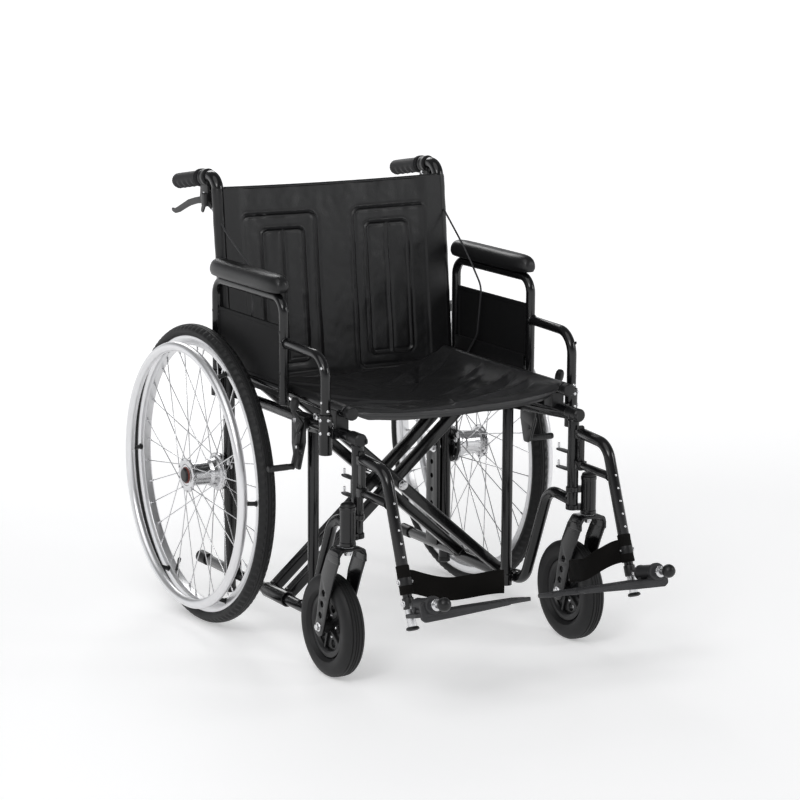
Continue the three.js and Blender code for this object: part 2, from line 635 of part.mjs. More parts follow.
/** The seat cloth: over both seat rails, sagging between them. */
function seatSling() {
  const top = SEAT_Z + TUBE + 1.2;
  const flat = 229;               // the cloth lies on the rails outside this
  const line = [-255, -flat, -170, -100, -35, 35, 100, 170, flat, 255].map((x) => {
    const sag = SEAT_SAG * Math.max(0, 1 - (x / flat) ** 2);
    return [x, top - sag];
  });
  const points = [...line, ...line.map(([x, z]) => [x, z + SEAT_THICK]).reverse()];
  const shape = new THREE.Shape(points.map(([x, z]) => new THREE.Vector2(x, z)));
  const geometry = new THREE.ExtrudeGeometry(shape, { depth: SEAT_DEPTH, bevelEnabled: false });
  geometry.rotateX(Math.PI / 2);
  geometry.translate(0, SEAT_REAR_Y, 0);
  return orient(geometry);
}

/** The back cloth, between the canes. */
const backSling = () => sideplate([
  [-12, 500], [7, 690], [26, 845], [30, 880], [35, 880], [31, 845], [12, 690], [-7, 500],
], -243, 243);

const HALF = {
  side_frame: [sideFrame, GLOSS_BLACK],
  back_cane: [backCane, GLOSS_BLACK],
  push_grip: [pushGrip, GRIP],
  brake_lever_mount: [brakeLeverMount, PLASTIC],
  brake_lever: [brakeLever, PLASTIC],
  brake_cable: [brakeCable, CABLE],
  drum_plate: [drumPlate, PLASTIC],
  rear_hub: [rearHub, STEEL],
  rear_spokes: [rearSpokes, STEEL],
  rear_rim: [rearRim, ALLOY],
  rear_tyre: [rearTyre, RUBBER],
  handrim: [handrim, ALLOY],
  caster_fork: [casterFork, GLOSS_BLACK],
  caster_hub: [casterHub, PLASTIC],
  caster_tyre: [casterTyre, RUBBER],
  armrest_frame: [armrestFrame, GLOSS_BLACK],
  arm_pad: [armPad, PAD],
  side_panel: [sidePanel, FABRIC],
  arm_lock: [armLock, STEEL],
  hanger: [hanger, GLOSS_BLACK],
  hanger_latch: [hangerLatch, GLOSS_BLACK],
  foot_tube: [footTube, GLOSS_BLACK],
  footplate: [footplate, COMPOSITE],
  heel_loop: [heelLoop, FABRIC],
  wheel_lock_bracket: [wheelLockBracket, GLOSS_BLACK],
  wheel_lock_lever: [wheelLockLever, GLOSS_BLACK],
  wheel_lock_shoe: [wheelLockShoe, STEEL],
};

const chair = new THREE.Group();
const rolling = new THREE.Group();
rolling.position.y = AXLE_Y;
chair.add(rolling);

function place(name, geometry, look) {
  const mesh = new THREE.Mesh(geometry, new THREE.MeshStandardMaterial(look));
  mesh.name = name;
  rolling.add(mesh);
}

/** The mirror image of a geometry across the middle plane. */
function mirrored(geometry) {
  const copy = geometry.clone();
  copy.scale(-1, 1, 1);
  const index = copy.index.array;
  for (let i = 0; i < index.length; i += 3) {
    [index[i], index[i + 1]] = [index[i + 1], index[i]];
  }
  return copy;
}

for (const [name, [make, look]] of Object.entries(HALF)) {
  const geometry = geometryOf(make());
  place(`left_${name}`, geometry, look);
  place(`right_${name}`, mirrored(geometry), look);
}

const MIDDLE = {
  brace_a: [() => braceArm(1, BRACE_A_Y), GLOSS_BLACK],
  brace_b: [() => braceArm(-1, BRACE_B_Y), GLOSS_BLACK],
  pivot_bolt: [pivotBolt, STEEL],
  seat_sling: [seatSling, VINYL],
  back_sling: [backSling, VINYL],
};
for (const [name, [make, look]] of Object.entries(MIDDLE)) {
  place(name, geometryOf(make()), look);
}

export default chair;
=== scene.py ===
"""Folding manual wheelchair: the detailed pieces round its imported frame, in a plain pale studio."""
from math import atan2, copysign, cos, degrees, exp, hypot, pi, radians, sin, sqrt, tan, tau

import bmesh
import bpy
from mathutils import Matrix, Vector, noise


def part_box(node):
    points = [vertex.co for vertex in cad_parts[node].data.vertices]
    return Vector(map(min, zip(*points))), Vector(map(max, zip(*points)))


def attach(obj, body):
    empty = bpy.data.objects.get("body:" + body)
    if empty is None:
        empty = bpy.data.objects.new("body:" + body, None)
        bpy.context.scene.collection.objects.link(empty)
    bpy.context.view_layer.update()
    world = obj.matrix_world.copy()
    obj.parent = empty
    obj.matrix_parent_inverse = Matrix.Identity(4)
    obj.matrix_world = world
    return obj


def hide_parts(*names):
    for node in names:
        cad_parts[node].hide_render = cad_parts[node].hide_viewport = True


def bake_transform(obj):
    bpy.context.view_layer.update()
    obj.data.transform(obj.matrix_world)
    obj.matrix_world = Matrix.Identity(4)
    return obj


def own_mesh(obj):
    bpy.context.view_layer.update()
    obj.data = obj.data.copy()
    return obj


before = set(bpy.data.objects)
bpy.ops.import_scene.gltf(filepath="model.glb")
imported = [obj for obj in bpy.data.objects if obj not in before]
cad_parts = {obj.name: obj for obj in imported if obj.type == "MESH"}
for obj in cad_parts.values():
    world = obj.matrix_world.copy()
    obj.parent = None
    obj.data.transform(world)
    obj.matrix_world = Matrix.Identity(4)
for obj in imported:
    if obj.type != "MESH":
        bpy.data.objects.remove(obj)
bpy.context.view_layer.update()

# ---- dimensions: millimetres, y counted from the rear axle, the left half, where x is positive ----
MM = 0.001


def centre_of(node):
    """The middle of a CAD node's box and its half sizes, in millimetres from the row frame's origin."""
    low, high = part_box(node)
    return (low + high) / (2 * MM), (high - low) / (2 * MM)


tyre_middle, tyre_half = centre_of("left_rear_tyre")
AXLE_Y = tyre_middle.y
WHEEL_X = tyre_middle.x
WHEEL_R = tyre_half.y
RIM_R = 281
RIM_INNER_R = 262
HUB_IN, HUB_OUT = 274.5, 349
HUB = (0, 0, WHEEL_R)
SPOKES = 36

HANDRIM_R = 262
HANDRIM_TUBE = 10
HANDRIM_X = 353
HANDRIM_TABS = 6

caster_middle, caster_half = centre_of("left_caster_tyre")
CASTER_X = caster_middle.x
CASTER_Y = caster_middle.y - AXLE_Y
CASTER_R = 100
CASTER_HALF = caster_half.x
STEM_Y = -537

TUBE = 11.1            # frame tube radius
ARM_TUBE = 9.5
CANE_TUBE = 12
FOOT_TUBE = 9
RAIL_X, RAIL_Z = 244.6, 90
SIDE_X, SIDE_Z = 244, 468
SEAT_X, SEAT_Z = 242.5, 512
POST_X, POST_Y = 242, -523
MID_X, MID_Y = 223, -311
CANE_X, CANE_Y = 255.5, -10
HOUSING_R, HOUSING_LOW, HOUSING_TOP = 15, 268, 345
ARM_X, ARM_REAR_Y, ARM_FRONT_Y = 280.5, -8, -299
ARM_POST_X, ARM_POST_Y = 276.3, -460
ARM_TOP_Z, ARM_STEP_Z = 704, 619
HANGER_X = 245
HANGER_LEAN = atan2(53, 143)
FOOT_HINGE_Y, FOOT_HINGE_Z = -780, 208
FOOT_PITCH = Matrix.Rotation(radians(-15), 3, "X")     # raises the footplate's front edge
BRACE_A_Y = (-232, -170)
BRACE_B_Y = (-262, -105)
BRACE_PIVOT_Z = RAIL_Z + (SEAT_Z - RAIL_Z) * RAIL_X / (RAIL_X + SEAT_X)
X, Y, Z = Vector((1, 0, 0)), Vector((0, 1, 0)), Vector((0, 0, 1))


def at(x, y, z):
    """A point of the row frame, in metres, from millimetres counted from the axle."""
    return Vector((x, y + AXLE_Y, z)) * MM


# ---- finishes ----
def set_inputs(tree, node, values):
    """Fill a node's inputs: a socket is linked, anything else is the value."""
    for key, value in values.items():
        if isinstance(value, bpy.types.NodeSocket):
            tree.links.new(value, node.inputs[key])
        else:
            node.inputs[key].default_value = value


def add_node(tree, kind, values=None, **settings):
    made = tree.nodes.new("ShaderNode" + kind)
    for key, value in settings.items():
        setattr(made, key, value)
    set_inputs(tree, made, values or {})
    return made


def ramp(tree, value, source, target):
    """A value mapped from one range to another."""
    ends = {"Value": value, "From Min": source[0], "From Max": source[1], "To Min": target[0],
            "To Max": target[1]}
    return add_node(tree, "MapRange", ends).outputs["Result"]


def new_material(name):
    made = bpy.data.materials.new(name)
    made.use_nodes = True
    tree = made.node_tree
    return made, tree, tree.nodes["Principled BSDF"], add_node(tree, "TexCoord").outputs["Object"]


def speckle(tree, place, scale):
    return add_node(tree, "TexNoise", {"Scale": scale, "Detail": 3, "Vector": place}).outputs["Fac"]


def leather(tree, place, scale):
    values = {"Scale": scale, "Smoothness": 0.4, "Vector": place}
    return add_node(tree, "TexVoronoi", values, feature="SMOOTH_F1").outputs["Distance"]


def weave(tree, place, scale):
    """Over and under threads: bands one way times bands the other way."""
    bands = [add_node(tree, "TexWave", {"Scale": 0.3 * scale, "Vector": place},
                      bands_direction=way).outputs["Fac"]
             for way in ("X", "Z")]
    return add_node(tree, "Math", dict(enumerate(bands)), operation="MULTIPLY").outputs["Value"]


GRAINS = {"speckle": speckle, "leather": leather, "weave": weave}


def finish(name, color, roughness, metallic=0.0, coat=0.0, specular=0.5, grain=(), blotch=0.12, wear=0.05):
    """A procedural finish. Each grain is (texture, size in millimetres, height in millimetres)."""
    made, tree, shader, place = new_material(name)

    def cloud(size, low, high):
        """Soft noise of that feature size, mapped to a range."""
        texture = add_node(tree, "TexNoise", {"Scale": 1 / (size * MM), "Detail": 4, "Vector": place})
        return ramp(tree, texture.outputs["Fac"], (0, 1), (low, high))

    tones = {"A": (*[c * (1 - blotch) for c in color], 1),
             "B": (*[min(1, c * (1 + blotch)) for c in color], 1),
             "Factor": cloud(18, 0, 1)}
    tone = add_node(tree, "Mix", tones, data_type="RGBA")
    set_inputs(tree, shader, {"Metallic": metallic, "Coat Weight": coat, "Coat Roughness": 0.06,
                              "Specular IOR Level": specular, "Base Color": tone.outputs["Result"],
                              "Roughness": cloud(45, roughness - wear, roughness + wear)})
    normal = None
    for kind, size, height in grain:
        bump = add_node(tree, "Bump", {"Strength": 1, "Distance": height * MM})
        set_inputs(tree, bump, {"Height": GRAINS[kind](tree, place, 1 / (size * MM))})
        if normal:
            set_inputs(tree, bump, {"Normal": normal})
        normal = bump.outputs["Normal"]
        set_inputs(tree, shader, {"Normal": normal})
    return made


FLECK = "speckle"
GLOSS = finish("frame_black", (0.004, 0.004, 0.0045), 0.2, coat=0.25, specular=0.35,
               grain=[(FLECK, 3.5, 0.02)])
SATIN = finish("black_steel", (0.009, 0.009, 0.0095), 0.38, grain=[(FLECK, 1.2, 0.03)])
VINYL = finish("vinyl_black", (0.0065, 0.0065, 0.007), 0.36, specular=0.42,
               grain=[("leather", 1.5, 0.10), (FLECK, 14, 0.25)])
# painted light: the seat uses a lighter, shinier copy of the vinyl finish, since the same vinyl renders
# darker on the up-facing seat than on the back
SEAT_VINYL_PAINTED_LIGHT = finish("seat_vinyl_painted_light", (0.015, 0.015, 0.0158), 0.34, specular=0.6,
              grain=[("leather", 1.5, 0.10), (FLECK, 14, 0.3)])
PANEL = finish("panel_black", (0.006, 0.006, 0.0065), 0.65, specular=0.2,
               grain=[("leather", 1.1, 0.08), (FLECK, 30, 0.4)])
WEBBING = finish("webbing_black", (0.006, 0.0055, 0.005), 0.88, specular=0.12,
                 grain=[("weave", 1.3, 0.25), (FLECK, 9, 0.3)])
PAD = finish("pad_black", (0.008, 0.008, 0.0085), 0.38, specular=0.4,
             grain=[("leather", 1.2, 0.05), (FLECK, 10, 0.1)])
GRIP = finish("grip_rubber", (0.014, 0.014, 0.015), 0.6, specular=0.3, grain=[(FLECK, 0.8, 0.06)])
PLASTIC = finish("black_plastic", (0.007, 0.007, 0.0075), 0.38, specular=0.4, grain=[(FLECK, 0.9, 0.05)])
COMPOSITE = finish("composite_grey", (0.028, 0.028, 0.03), 0.5, specular=0.4, grain=[(FLECK, 1.0, 0.08)],
                   blotch=0.2)
TYRE = finish("tyre_black", (0.011, 0.011, 0.0115), 0.55, specular=0.3, grain=[(FLECK, 1.5, 0.06)],
              blotch=0.2)
ALLOY = finish("alloy", (0.78, 0.78, 0.79), 0.34, metallic=0.85, grain=[(FLECK, 0.7, 0.01)], blotch=0.03)
STEEL = finish("bright_steel", (0.66, 0.66, 0.67), 0.22, metallic=1.0, grain=[(FLECK, 0.9, 0.01)],
               blotch=0.05)
CABLE = finish("cable_grey", (0.03, 0.03, 0.032), 0.45, specular=0.4, grain=[(FLECK, 0.8, 0.04)])
RUST_RED = finish("hub_seal_red", (0.16, 0.03, 0.02), 0.5, grain=[(FLECK, 0.8, 0.03)])


# ---- surfaces ----
class Shape:
    """Closed surfaces in millimetres, with the finish of every face."""

    def __init__(self):
        self.points, self.faces, self.looks = [], [], []

    def add(self, points, faces, look):
        start = len(self.points)
        self.points.extend(points)
        self.faces.extend([i + start for i in face] for face in faces)
        self.looks.extend([look] * len(faces))


def skin(shape, rings, look, loop=False):
    """A surface through rings of equally many points: capped at both ends, or joined into a loop."""
    sides = len(rings[0])
    count = len(rings)
    faces = []
    for i in range(count if loop else count - 1):
        for j in range(sides):
            k = (j + 1) % sides
            n = (i + 1) % count
            faces.append((i * sides + j, i * sides + k, n * sides + k, n * sides + j))
    if not loop:
        faces.append(tuple(range(sides))[::-1])
        faces.append(tuple((count - 1) * sides + j for j in range(sides)))
    shape.add([p for ring in rings for p in ring], faces, look)


def route(corners, bend=45, step=7):
    """Stations (point, direction) along straight runs that round bends join."""
    corners = [Vector(c) for c in corners]
    line = [(corners[0], (corners[1] - corners[0]).normalized())]
    for before, corner, after in zip(corners, corners[1:], corners[2:]):
        into = (corner - before).normalized()
        out = (after - corner).normalized()
        turn = into.angle(out)
        room = 0.49 * min((corner - before).length, (after - corner).length)
        reach = min(bend * tan(turn / 2), room)
        radius = reach / tan(turn / 2)
        axis = into.cross(out).normalized()
        inward = axis.cross(into)
        centre = corner - into * reach + inward * radius
        steps = max(2, round(degrees(turn) / step))
        for k in range(steps + 1):
            spin = Matrix.Rotation(turn * k / steps, 3, axis)
            line.append((centre - spin @ inward * radius, spin @ into))
    line.append((corners[-1], (corners[-1] - corners[-2]).normalized()))
    return line


def sweep(shape, line, section, look, edge=0.8):
    """A bar of one section, a list of (sideways, upward) offsets, its end edges rounded."""
    size = max(hypot(a, b) for a, b in section)
    first, last = line[0], line[-1]
    ends = [(0, 1 - edge / size), (0.3 * edge, 1 - 0.3 * edge / size), (edge, 1)]
    stations = [(first[0] + first[1] * d, first[1], s) for d, s in ends]
    stations += [(point, way, 1) for point, way in line[1:-1]]
    stations += [(last[0] - last[1] * d, last[1], s) for d, s in reversed(ends)]
    way = first[1]
    side = way.cross(Z if abs(way.z) < 0.9 else Y).normalized()
    rings = []
    for point, way, scale in stations:
        side = (side - way * side.dot(way)).normalized()
        other = way.cross(side)
        rings.append([point + (side * a + other * b) * scale for a, b in section])
    skin(shape, rings, look)


def polar(radius, angle, a=0, b=0):
    """The point on a circle round (a, b)."""
    return a + radius * cos(angle), b + radius * sin(angle)


def disc(radius, sides=28):
    """A round section."""
    return [polar(radius, tau * i / sides) for i in range(sides)]


def tube(shape, corners, radius, look, bend=45, sides=28, edge=0.8):
    sweep(shape, route(corners, bend), disc(radius, sides), look, edge)


def turned(shape, profile, origin, way, look, sides=40, loop=False):
    """A profile of (radius, distance along the axis) turned about the axis."""
    way = Vector(way).normalized()
    side = way.orthogonal().normalized()
    other = way.cross(side)
    rings = []
    for radius, along in profile:
        centre = Vector(origin) + way * along
        rings.append([centre + side * a + other * b for a, b in disc(radius, sides)])
    skin(shape, rings, look, loop)


def rounded(points, radius, closed=False, steps=3):
    """An outline or profile with its corners rounded off."""
    points = [Vector(p) for p in points]
    result = []
    for i, corner in enumerate(points):
        if not closed and i in (0, len(points) - 1):
            result.append(tuple(corner))
            continue
        back = points[i - 1] - corner
        ahead = points[(i + 1) % len(points)] - corner
        half = back.angle(ahead) / 2
        reach = min(radius / tan(half), 0.45 * back.length, 0.45 * ahead.length)
        start = corner + back.normalized() * reach
        end = corner + ahead.normalized() * reach
        for k in range(steps + 1):
            t = k / steps
            result.append(tuple(start * (1 - t) ** 2 + corner * 2 * t * (1 - t) + end * t ** 2))
    return result


def closed(points, radius, steps=3):
    return rounded(points, radius, True, steps)


def oblong(x, y):
    """A box as an outline, from its two ranges."""
    return [(x[0], y[0]), (x[1], y[0]), (x[1], y[1]), (x[0], y[1])]


def mirrored(half):
    """A profile and the same the other way round."""
    return half + [(r, -x) for r, x in reversed(half)]


def hoop(a, b, radius, sides=28):
    """A circle as an outline."""
    return [(a + p, b + q) for p, q in disc(radius, sides)]


PLANES = {"side": (2, 0, 1), "flat": (0, 1, 2), "front": (0, 2, 1)}


def plate(shape, outline, low, high, look, plane="side", holes=(), edge=0.8):
    """A flat piece with rounded edges: an outline in a plane, between two heights off the plane."""
    curve = bpy.data.curves.new("outline", "CURVE")
    curve.dimensions = "2D"
    curve.fill_mode = "BOTH"
    edge = min(edge, 0.45 * (high - low))
    curve.extrude = (high - low) / 2 - edge
    curve.bevel_depth = edge
    curve.bevel_resolution = 2
    curve.offset = -edge
    for loop in [outline, *holes]:
        spline = curve.splines.new("POLY")
        spline.points.add(len(loop) - 1)
        spline.use_cyclic_u = True
        for point, (a, b) in zip(spline.points, loop):
            point.co = (a, b, 0, 1)
    holder = bpy.data.objects.new("outline", curve)
    flat = bpy.data.meshes.new_from_object(holder)
    order = PLANES[plane]
    middle = (low + high) / 2
    points = []
    for vertex in flat.vertices:
        own = (vertex.co.x, vertex.co.y, vertex.co.z + middle)
        points.append(Vector([own[i] for i in order]))
    shape.add(points, [tuple(face.vertices) for face in flat.polygons], look)
    bpy.data.meshes.remove(flat)
    bpy.data.objects.remove(holder)
    bpy.data.curves.remove(curve)


def block(shape, x, y, z, look, corner=2, edge=0.8):
    """A box with rounded upright corners and softened edges."""
    outline = closed(oblong(x, y), corner)
    plate(shape, outline, *z, look, plane="flat", edge=edge)


def rivet(shape, origin, way, radius, height, look=STEEL):
    """A low domed head."""
    profile = [(radius, -0.5), (radius, 0.25 * height), (0.85 * radius, 0.65 * height),
               (0.55 * radius, 0.92 * height), (0.15 * radius, height)]
    turned(shape, profile, origin, way, look, sides=20)


def bolt(shape, origin, way, radius, height):
    """A washer and a hexagon head."""
    turned(shape, rounded([(radius * 1.3, 0), (radius * 1.35, 0.6), (radius * 1.3, 1.1)], 0.3),
           origin, way, STEEL, sides=28)
    head = [(radius, 1), (radius, height * 0.85), (radius * 0.86, height)]
    turned(shape, head, origin, way, STEEL, sides=6)


def weld(shape, origin, way, radius):
    """The bead round the end of a tube that is welded on."""
    profile = [(radius + a, b) for a, b in ((-2, 1.5), (0.4, 2.2), (1.7, 1.2), (2.2, -0.6), (-2, -1.5))]
    turned(shape, profile, origin, way, GLOSS, sides=28, loop=True)


def cloth(shape, surface, across, along, thickness, look):
    """A closed sheet: surface(u, v) gives its middle, u and v from 0 to 1."""
    grid = [[surface(i / across, j / along) for j in range(along + 1)] for i in range(across + 1)]
    normals = []
    for i in range(across + 1):
        row = []
        for j in range(along + 1):
            du = grid[min(i + 1, across)][j] - grid[max(i - 1, 0)][j]
            dv = grid[i][min(j + 1, along)] - grid[i][max(j - 1, 0)]
            row.append(du.cross(dv).normalized())
        normals.append(row)
    points = []
    for side in (0.5, -0.5):
        for i in range(across + 1):
            points.extend(grid[i][j] + normals[i][j] * side * thickness for j in range(along + 1))
    two_faced(shape, points, across, along, look)


def two_faced(shape, points, across, along, look):
    """A closed sheet from the points of its two faces, each laid out column by column."""
    width = along + 1
    layer = (across + 1) * width
    faces = []
    for i in range(across):
        for j in range(along):
            a = i * width + j
            faces.append((a, a + width, a + width + 1, a + 1))
            faces.append((layer + a, layer + a + 1, layer + a + width + 1, layer + a + width))
    rim = list(range(width))
    rim += [i * width + along for i in range(1, across + 1)]
    rim += [across * width + j for j in range(along - 1, -1, -1)]
    rim += [i * width for i in range(across - 1, 0, -1)]
    for a, b in zip(rim, rim[1:] + rim[:1]):
        faces.append((a, b, layer + b, layer + a))
    shape.add(points, faces, look)


SHARP = 38             # degrees between faces that still shade as one


def add_object(name, data):
    made = bpy.data.objects.new(name, data)
    bpy.context.scene.collection.objects.link(made)
    return made


def piece(name, make, body, nodes, mirror=False):
    """One object: what make adds to a shape, in place, on its body and standing for its CAD nodes."""
    shape = Shape()
    make(shape)
    sign = -1 if mirror else 1
    looks = list(dict.fromkeys(shape.looks))
    mesh = bpy.data.meshes.new(name)
    mesh.from_pydata([at(sign * p.x, p.y, p.z) for p in shape.points], [], shape.faces)
    for look in looks:
        mesh.materials.append(look)
    mesh.polygons.foreach_set("material_index", [looks.index(look) for look in shape.looks])
    work = bmesh.new()
    work.from_mesh(mesh)
    bmesh.ops.remove_doubles(work, verts=work.verts, dist=1e-6)
    bmesh.ops.recalc_face_normals(work, faces=work.faces)
    work.to_mesh(mesh)
    work.free()
    mesh.shade_smooth()
    mesh.set_sharp_from_angle(angle=radians(SHARP))
    made = add_object(name, mesh)
    if body:
        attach(made, body)
    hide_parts(*nodes)
    return made


# ---- side frame ----
CANE_LINE = [(CANE_X, CANE_Y, 60), (CANE_X, CANE_Y, 500), (256.5, 28, 845), (257, 35.5, 905),
             (258, 213, 875.7)]


def side_frame(s):
    """Lower rail rising to the caster housing, front and middle posts, upper tube and their fittings."""
    tube(s, [(RAIL_X, 150, RAIL_Z), (RAIL_X, -347, RAIL_Z), (RAIL_X, -434, 300), (POST_X, POST_Y, 294)],
         TUBE, GLOSS)
    tube(s, [(POST_X, POST_Y, 277), (POST_X, POST_Y, SIDE_Z)], TUBE, GLOSS)
    tube(s, [(SIDE_X, CANE_Y, SIDE_Z), (SIDE_X, -541, SIDE_Z)], TUBE, GLOSS)
    tube(s, [(MID_X, MID_Y, 84), (MID_X, MID_Y, 450)], TUBE, GLOSS)
    for end, way in (((RAIL_X, 112, RAIL_Z), Y), ((SIDE_X, -503, SIDE_Z), -Y)):
        cap = [(11.2, 0), (12.6, 0), (13, 3), (13, 30), (13.2, 33), (13.2, 36.5), (11, 39)]
        turned(s, rounded(cap, 1.2), end, way, PLASTIC)
    for place, way in (((POST_X, POST_Y, SIDE_Z - 11), Z), ((RAIL_X, MID_Y, RAIL_Z + 11), Z),
                       ((CANE_X, CANE_Y, RAIL_Z), -Y), ((POST_X + 1, POST_Y + 10, 296), -Y)):
        weld(s, place, way, TUBE)
    turned(s, rounded([(12.4, 0), (12.4, 24), (7, 24)], 2), (MID_X, MID_Y, 76), Z, GLOSS)
    tube(s, [(MID_X + 2, MID_Y, RAIL_Z + 4), (RAIL_X, MID_Y, RAIL_Z)], 9, GLOSS)
    strap(s, (-311, 449), (-539, 466), 13, 232, 236, GLOSS)
    bolt(s, (236, -533, 465.5), X, 4.6, 5)
    bolt(s, (236, MID_Y, 449), X, 4.6, 5)
    caster_housing(s)
    side_fittings(s)


def strap(shape, start, end, width, low, high, look, holes=()):
    """A flat bar with round ends in the side-on plane."""
    a, b = Vector(start), Vector(end)
    turn = atan2(b.y - a.y, b.x - a.x)
    outline = []
    for centre, first in ((a, turn + pi / 2), (b, turn - pi / 2)):
        outline += [polar(width / 2, first + pi * k / 8, *centre) for k in range(9)]
    plate(shape, outline, low, high, look, holes=holes)


def arm_socket(s, x, y, low, lip, top):
    """The short tube that takes an armrest post; its bore starts at the lip."""
    profile = [(10.4, lip), (10.4, top), (12.7, top), (12.7, low), (10.4, low)]
    turned(s, closed(profile, 0.9), (x, y, 0), Z, GLOSS, loop=True)


def caster_housing(s):
    """The upright tube that holds the caster stem, with its dust cap, bearing lips and webs."""
    shell = [(11, HOUSING_LOW), (HOUSING_R, HOUSING_LOW), (HOUSING_R + 0.8, HOUSING_LOW + 1.5),
             (HOUSING_R + 0.8, HOUSING_LOW + 7), (HOUSING_R, HOUSING_LOW + 9), (HOUSING_R, HOUSING_TOP - 9),
             (HOUSING_R + 0.8, HOUSING_TOP - 7), (HOUSING_R + 0.8, HOUSING_TOP - 1.5),
             (HOUSING_R - 1, HOUSING_TOP)]
    turned(s, rounded(shell, 0.8), (CASTER_X, STEM_Y, 0), Z, GLOSS)
    cap = [(14, 0), (14.2, 2), (13, 4.5), (9, 6.8), (4, 7.8), (0.5, 8)]
    turned(s, cap, (CASTER_X, STEM_Y, HOUSING_TOP), Z, PLASTIC)
    for z in (282, 318):
        block(s, (246, 262), (-536, -522), (z - 6, z + 6), GLOSS)
        turned(s, [(12.6, -5), (13.4, -4), (13.4, 4), (12.6, 5)], (POST_X, POST_Y, z), Z, GLOSS)


def side_fittings(s):
    """Seat-rail saddles, axle plate and the front armrest socket."""
    for y in (-450, -60):
        saddle = [(229, 473), (256, 473), (256, 512), (253.8, 512)]
        saddle += [polar(11.6, -pi * k / 12, SEAT_X, SEAT_Z) for k in range(13)]
        saddle += [(229, 512)]
        plate(s, saddle, y - 15, y + 15, PLASTIC, plane="front")
        bolt(s, (256, y, 481), X, 4, 4)
    holes = [hoop(7, z, 5.2) for z in (120, 150, 180, 210, 240, 270)] + [hoop(0, WHEEL_R, 7)]
    outline = closed([(-16, RAIL_Z), (30, RAIL_Z), (30, 322), (20, 334), (-6, 334), (-16, 322)], 6)
    plate(s, outline, 232.5, 240, GLOSS, holes=holes)
    arm_socket(s, ARM_POST_X, ARM_POST_Y, 429, 440, 506)
    block(s, (250, 268), (ARM_POST_Y - 9, ARM_POST_Y + 9), (459, 477), GLOSS)
    for z in (497, 471.5):
        rivet(s, (ARM_POST_X + 12, ARM_POST_Y - 2, z), X, 4.2, 3)
        rivet(s, (ARM_POST_X, ARM_POST_Y - 12.2, z), -Y, 3.6, 2.6)


def back_cane(s):
    tube(s, CANE_LINE, CANE_TUBE, GLOSS)
    arm_socket(s, ARM_X, ARM_REAR_Y, 466, 476, 519)
    block(s, (260, 270), (ARM_REAR_Y - 8, ARM_REAR_Y + 8), (473, 513), GLOSS)
    for z in (480, 506):
        rivet(s, (ARM_X, ARM_REAR_Y - 12.4, z), -Y, 3.4, 2.4)
    turned(s, [(12.3, 0), (12.6, 2), (12.6, 9), (9, 11)], (CANE_X, CANE_Y, 63), -Z, PLASTIC)
    for z in (WHEEL_R - 78, WHEEL_R + 78):
        bolt(s, (CANE_X, CANE_Y + CANE_TUBE - 0.4, z), Y, 4.2, 4.5)


def push_grip(s):
    """A soft sleeve with finger ridges under it, a ribbed collar and a closed round end."""
    front, back = Vector((257.3, 96, 895)), Vector((258, 217.5, 875))
    way = (back - front).normalized()
    length = (back - front).length
    side = way.cross(Z).normalized()
    up = side.cross(way)
    rings = []
    steps = 96
    for k in range(steps + 1):
        t = k / steps
        along = length * t
        ridge = 0.5 - 0.5 * cos(tau * (along - 14) / 21.5) if 14 < along < length - 8 else 0.5
        end = sqrt(max(0.0, 1 - max(0.0, (along - length + 7) / 7) ** 2))
        ring = []
        for j in range(40):
            angle = tau * j / 40
            under = max(0.0, -sin(angle)) ** 0.7
            radius = (15.3 - 1.6 * under + 3.0 * under * ridge + 0.25 * cos(angle * 20)) * (0.35 + 0.65 * end)
            ring.append(front + way * along + side * radius * cos(angle) + up * radius * sin(angle))
        rings.append(ring)
    skin(s, rings, GRIP)
    for k in range(4):
        rib = [(14, 0), (17.6 + 0.3 * k, 0.5), (18.2 + 0.1 * k, 1.7), (17.6, 3), (14, 3.4)]
        turned(s, rib, front + way * (0.4 + 3.3 * k), way, GRIP)


CABLE_ADJUSTER = Vector((262, 64, 848))
CABLE_WAY = Vector((-3, -70, -51)).normalized()


def brake_lever_mount(s):
    lean = Vector((0.15, 20, -3.2)).normalized()
    clamp = [(15.5, 0), (17, 1), (17, 6.5), (16.4, 7.5), (16.4, 12.5), (17, 13.5), (17, 19), (15.5, 20.2)]
    turned(s, clamp, (257, 72, 898.5), lean, PLASTIC, sides=48)
    block(s, (249, 265), (68, 90), (872, 890), PLASTIC, corner=4, edge=1.5)
    for low, high in ((249.2, 253.4), (260.6, 265.2)):
        outline = closed([(60, 846), (70, 838), (92, 842), (98, 856), (95, 884), (62, 884)], 6)
        plate(s, outline, low, high, PLASTIC)
    block(s, (252, 272), (60, 80), (840, 866), PLASTIC, corner=5, edge=2)
    barrel = [(4.2, 0), (5, 0.8), (5, 3), (4.4, 3.6), (5, 4.2), (5, 6.5), (4.4, 7.1), (5, 7.7), (5, 11),
              (3.8, 13),
              (3.8, 19)]
    turned(s, barrel, CABLE_ADJUSTER, CABLE_WAY, PLASTIC, sides=32)
    bolt(s, (265, 78, 862), X, 4.5, 4)
    bolt(s, (249, 82, 880), -X, 3.6, 3.4)


def brake_lever(s):
    """The squeezed blade and the small catch that holds it on."""
    blade = [(76, 868), (92, 864), (104, 856), (135, 850), (167, 842), (196, 830), (218, 821), (232, 816),
             (245, 817), (244, 809), (228, 806), (208, 811), (186, 820), (158, 830), (126, 838), (98, 842),
             (78, 850)]
    plate(s, closed(blade, 9), 254.2, 259.8, PLASTIC, edge=1.8)
    rivet(s, (259.6, 84, 858), X, 4, 1)
    catch = closed([(96, 846), (112, 841), (118, 824), (110, 820), (100, 834)], 4)
    plate(s, catch, 250.4, 253.9, SATIN)


CABLE_LINE = [CABLE_ADJUSTER + CABLE_WAY * 17, (258, -8, 795), (250.8, -84, 744), (252, -112, 715),
              (264, -136, 664), (266, -118, 560), (266, -56, 490), (266, -34, 400), (271, -34, 324.5)]


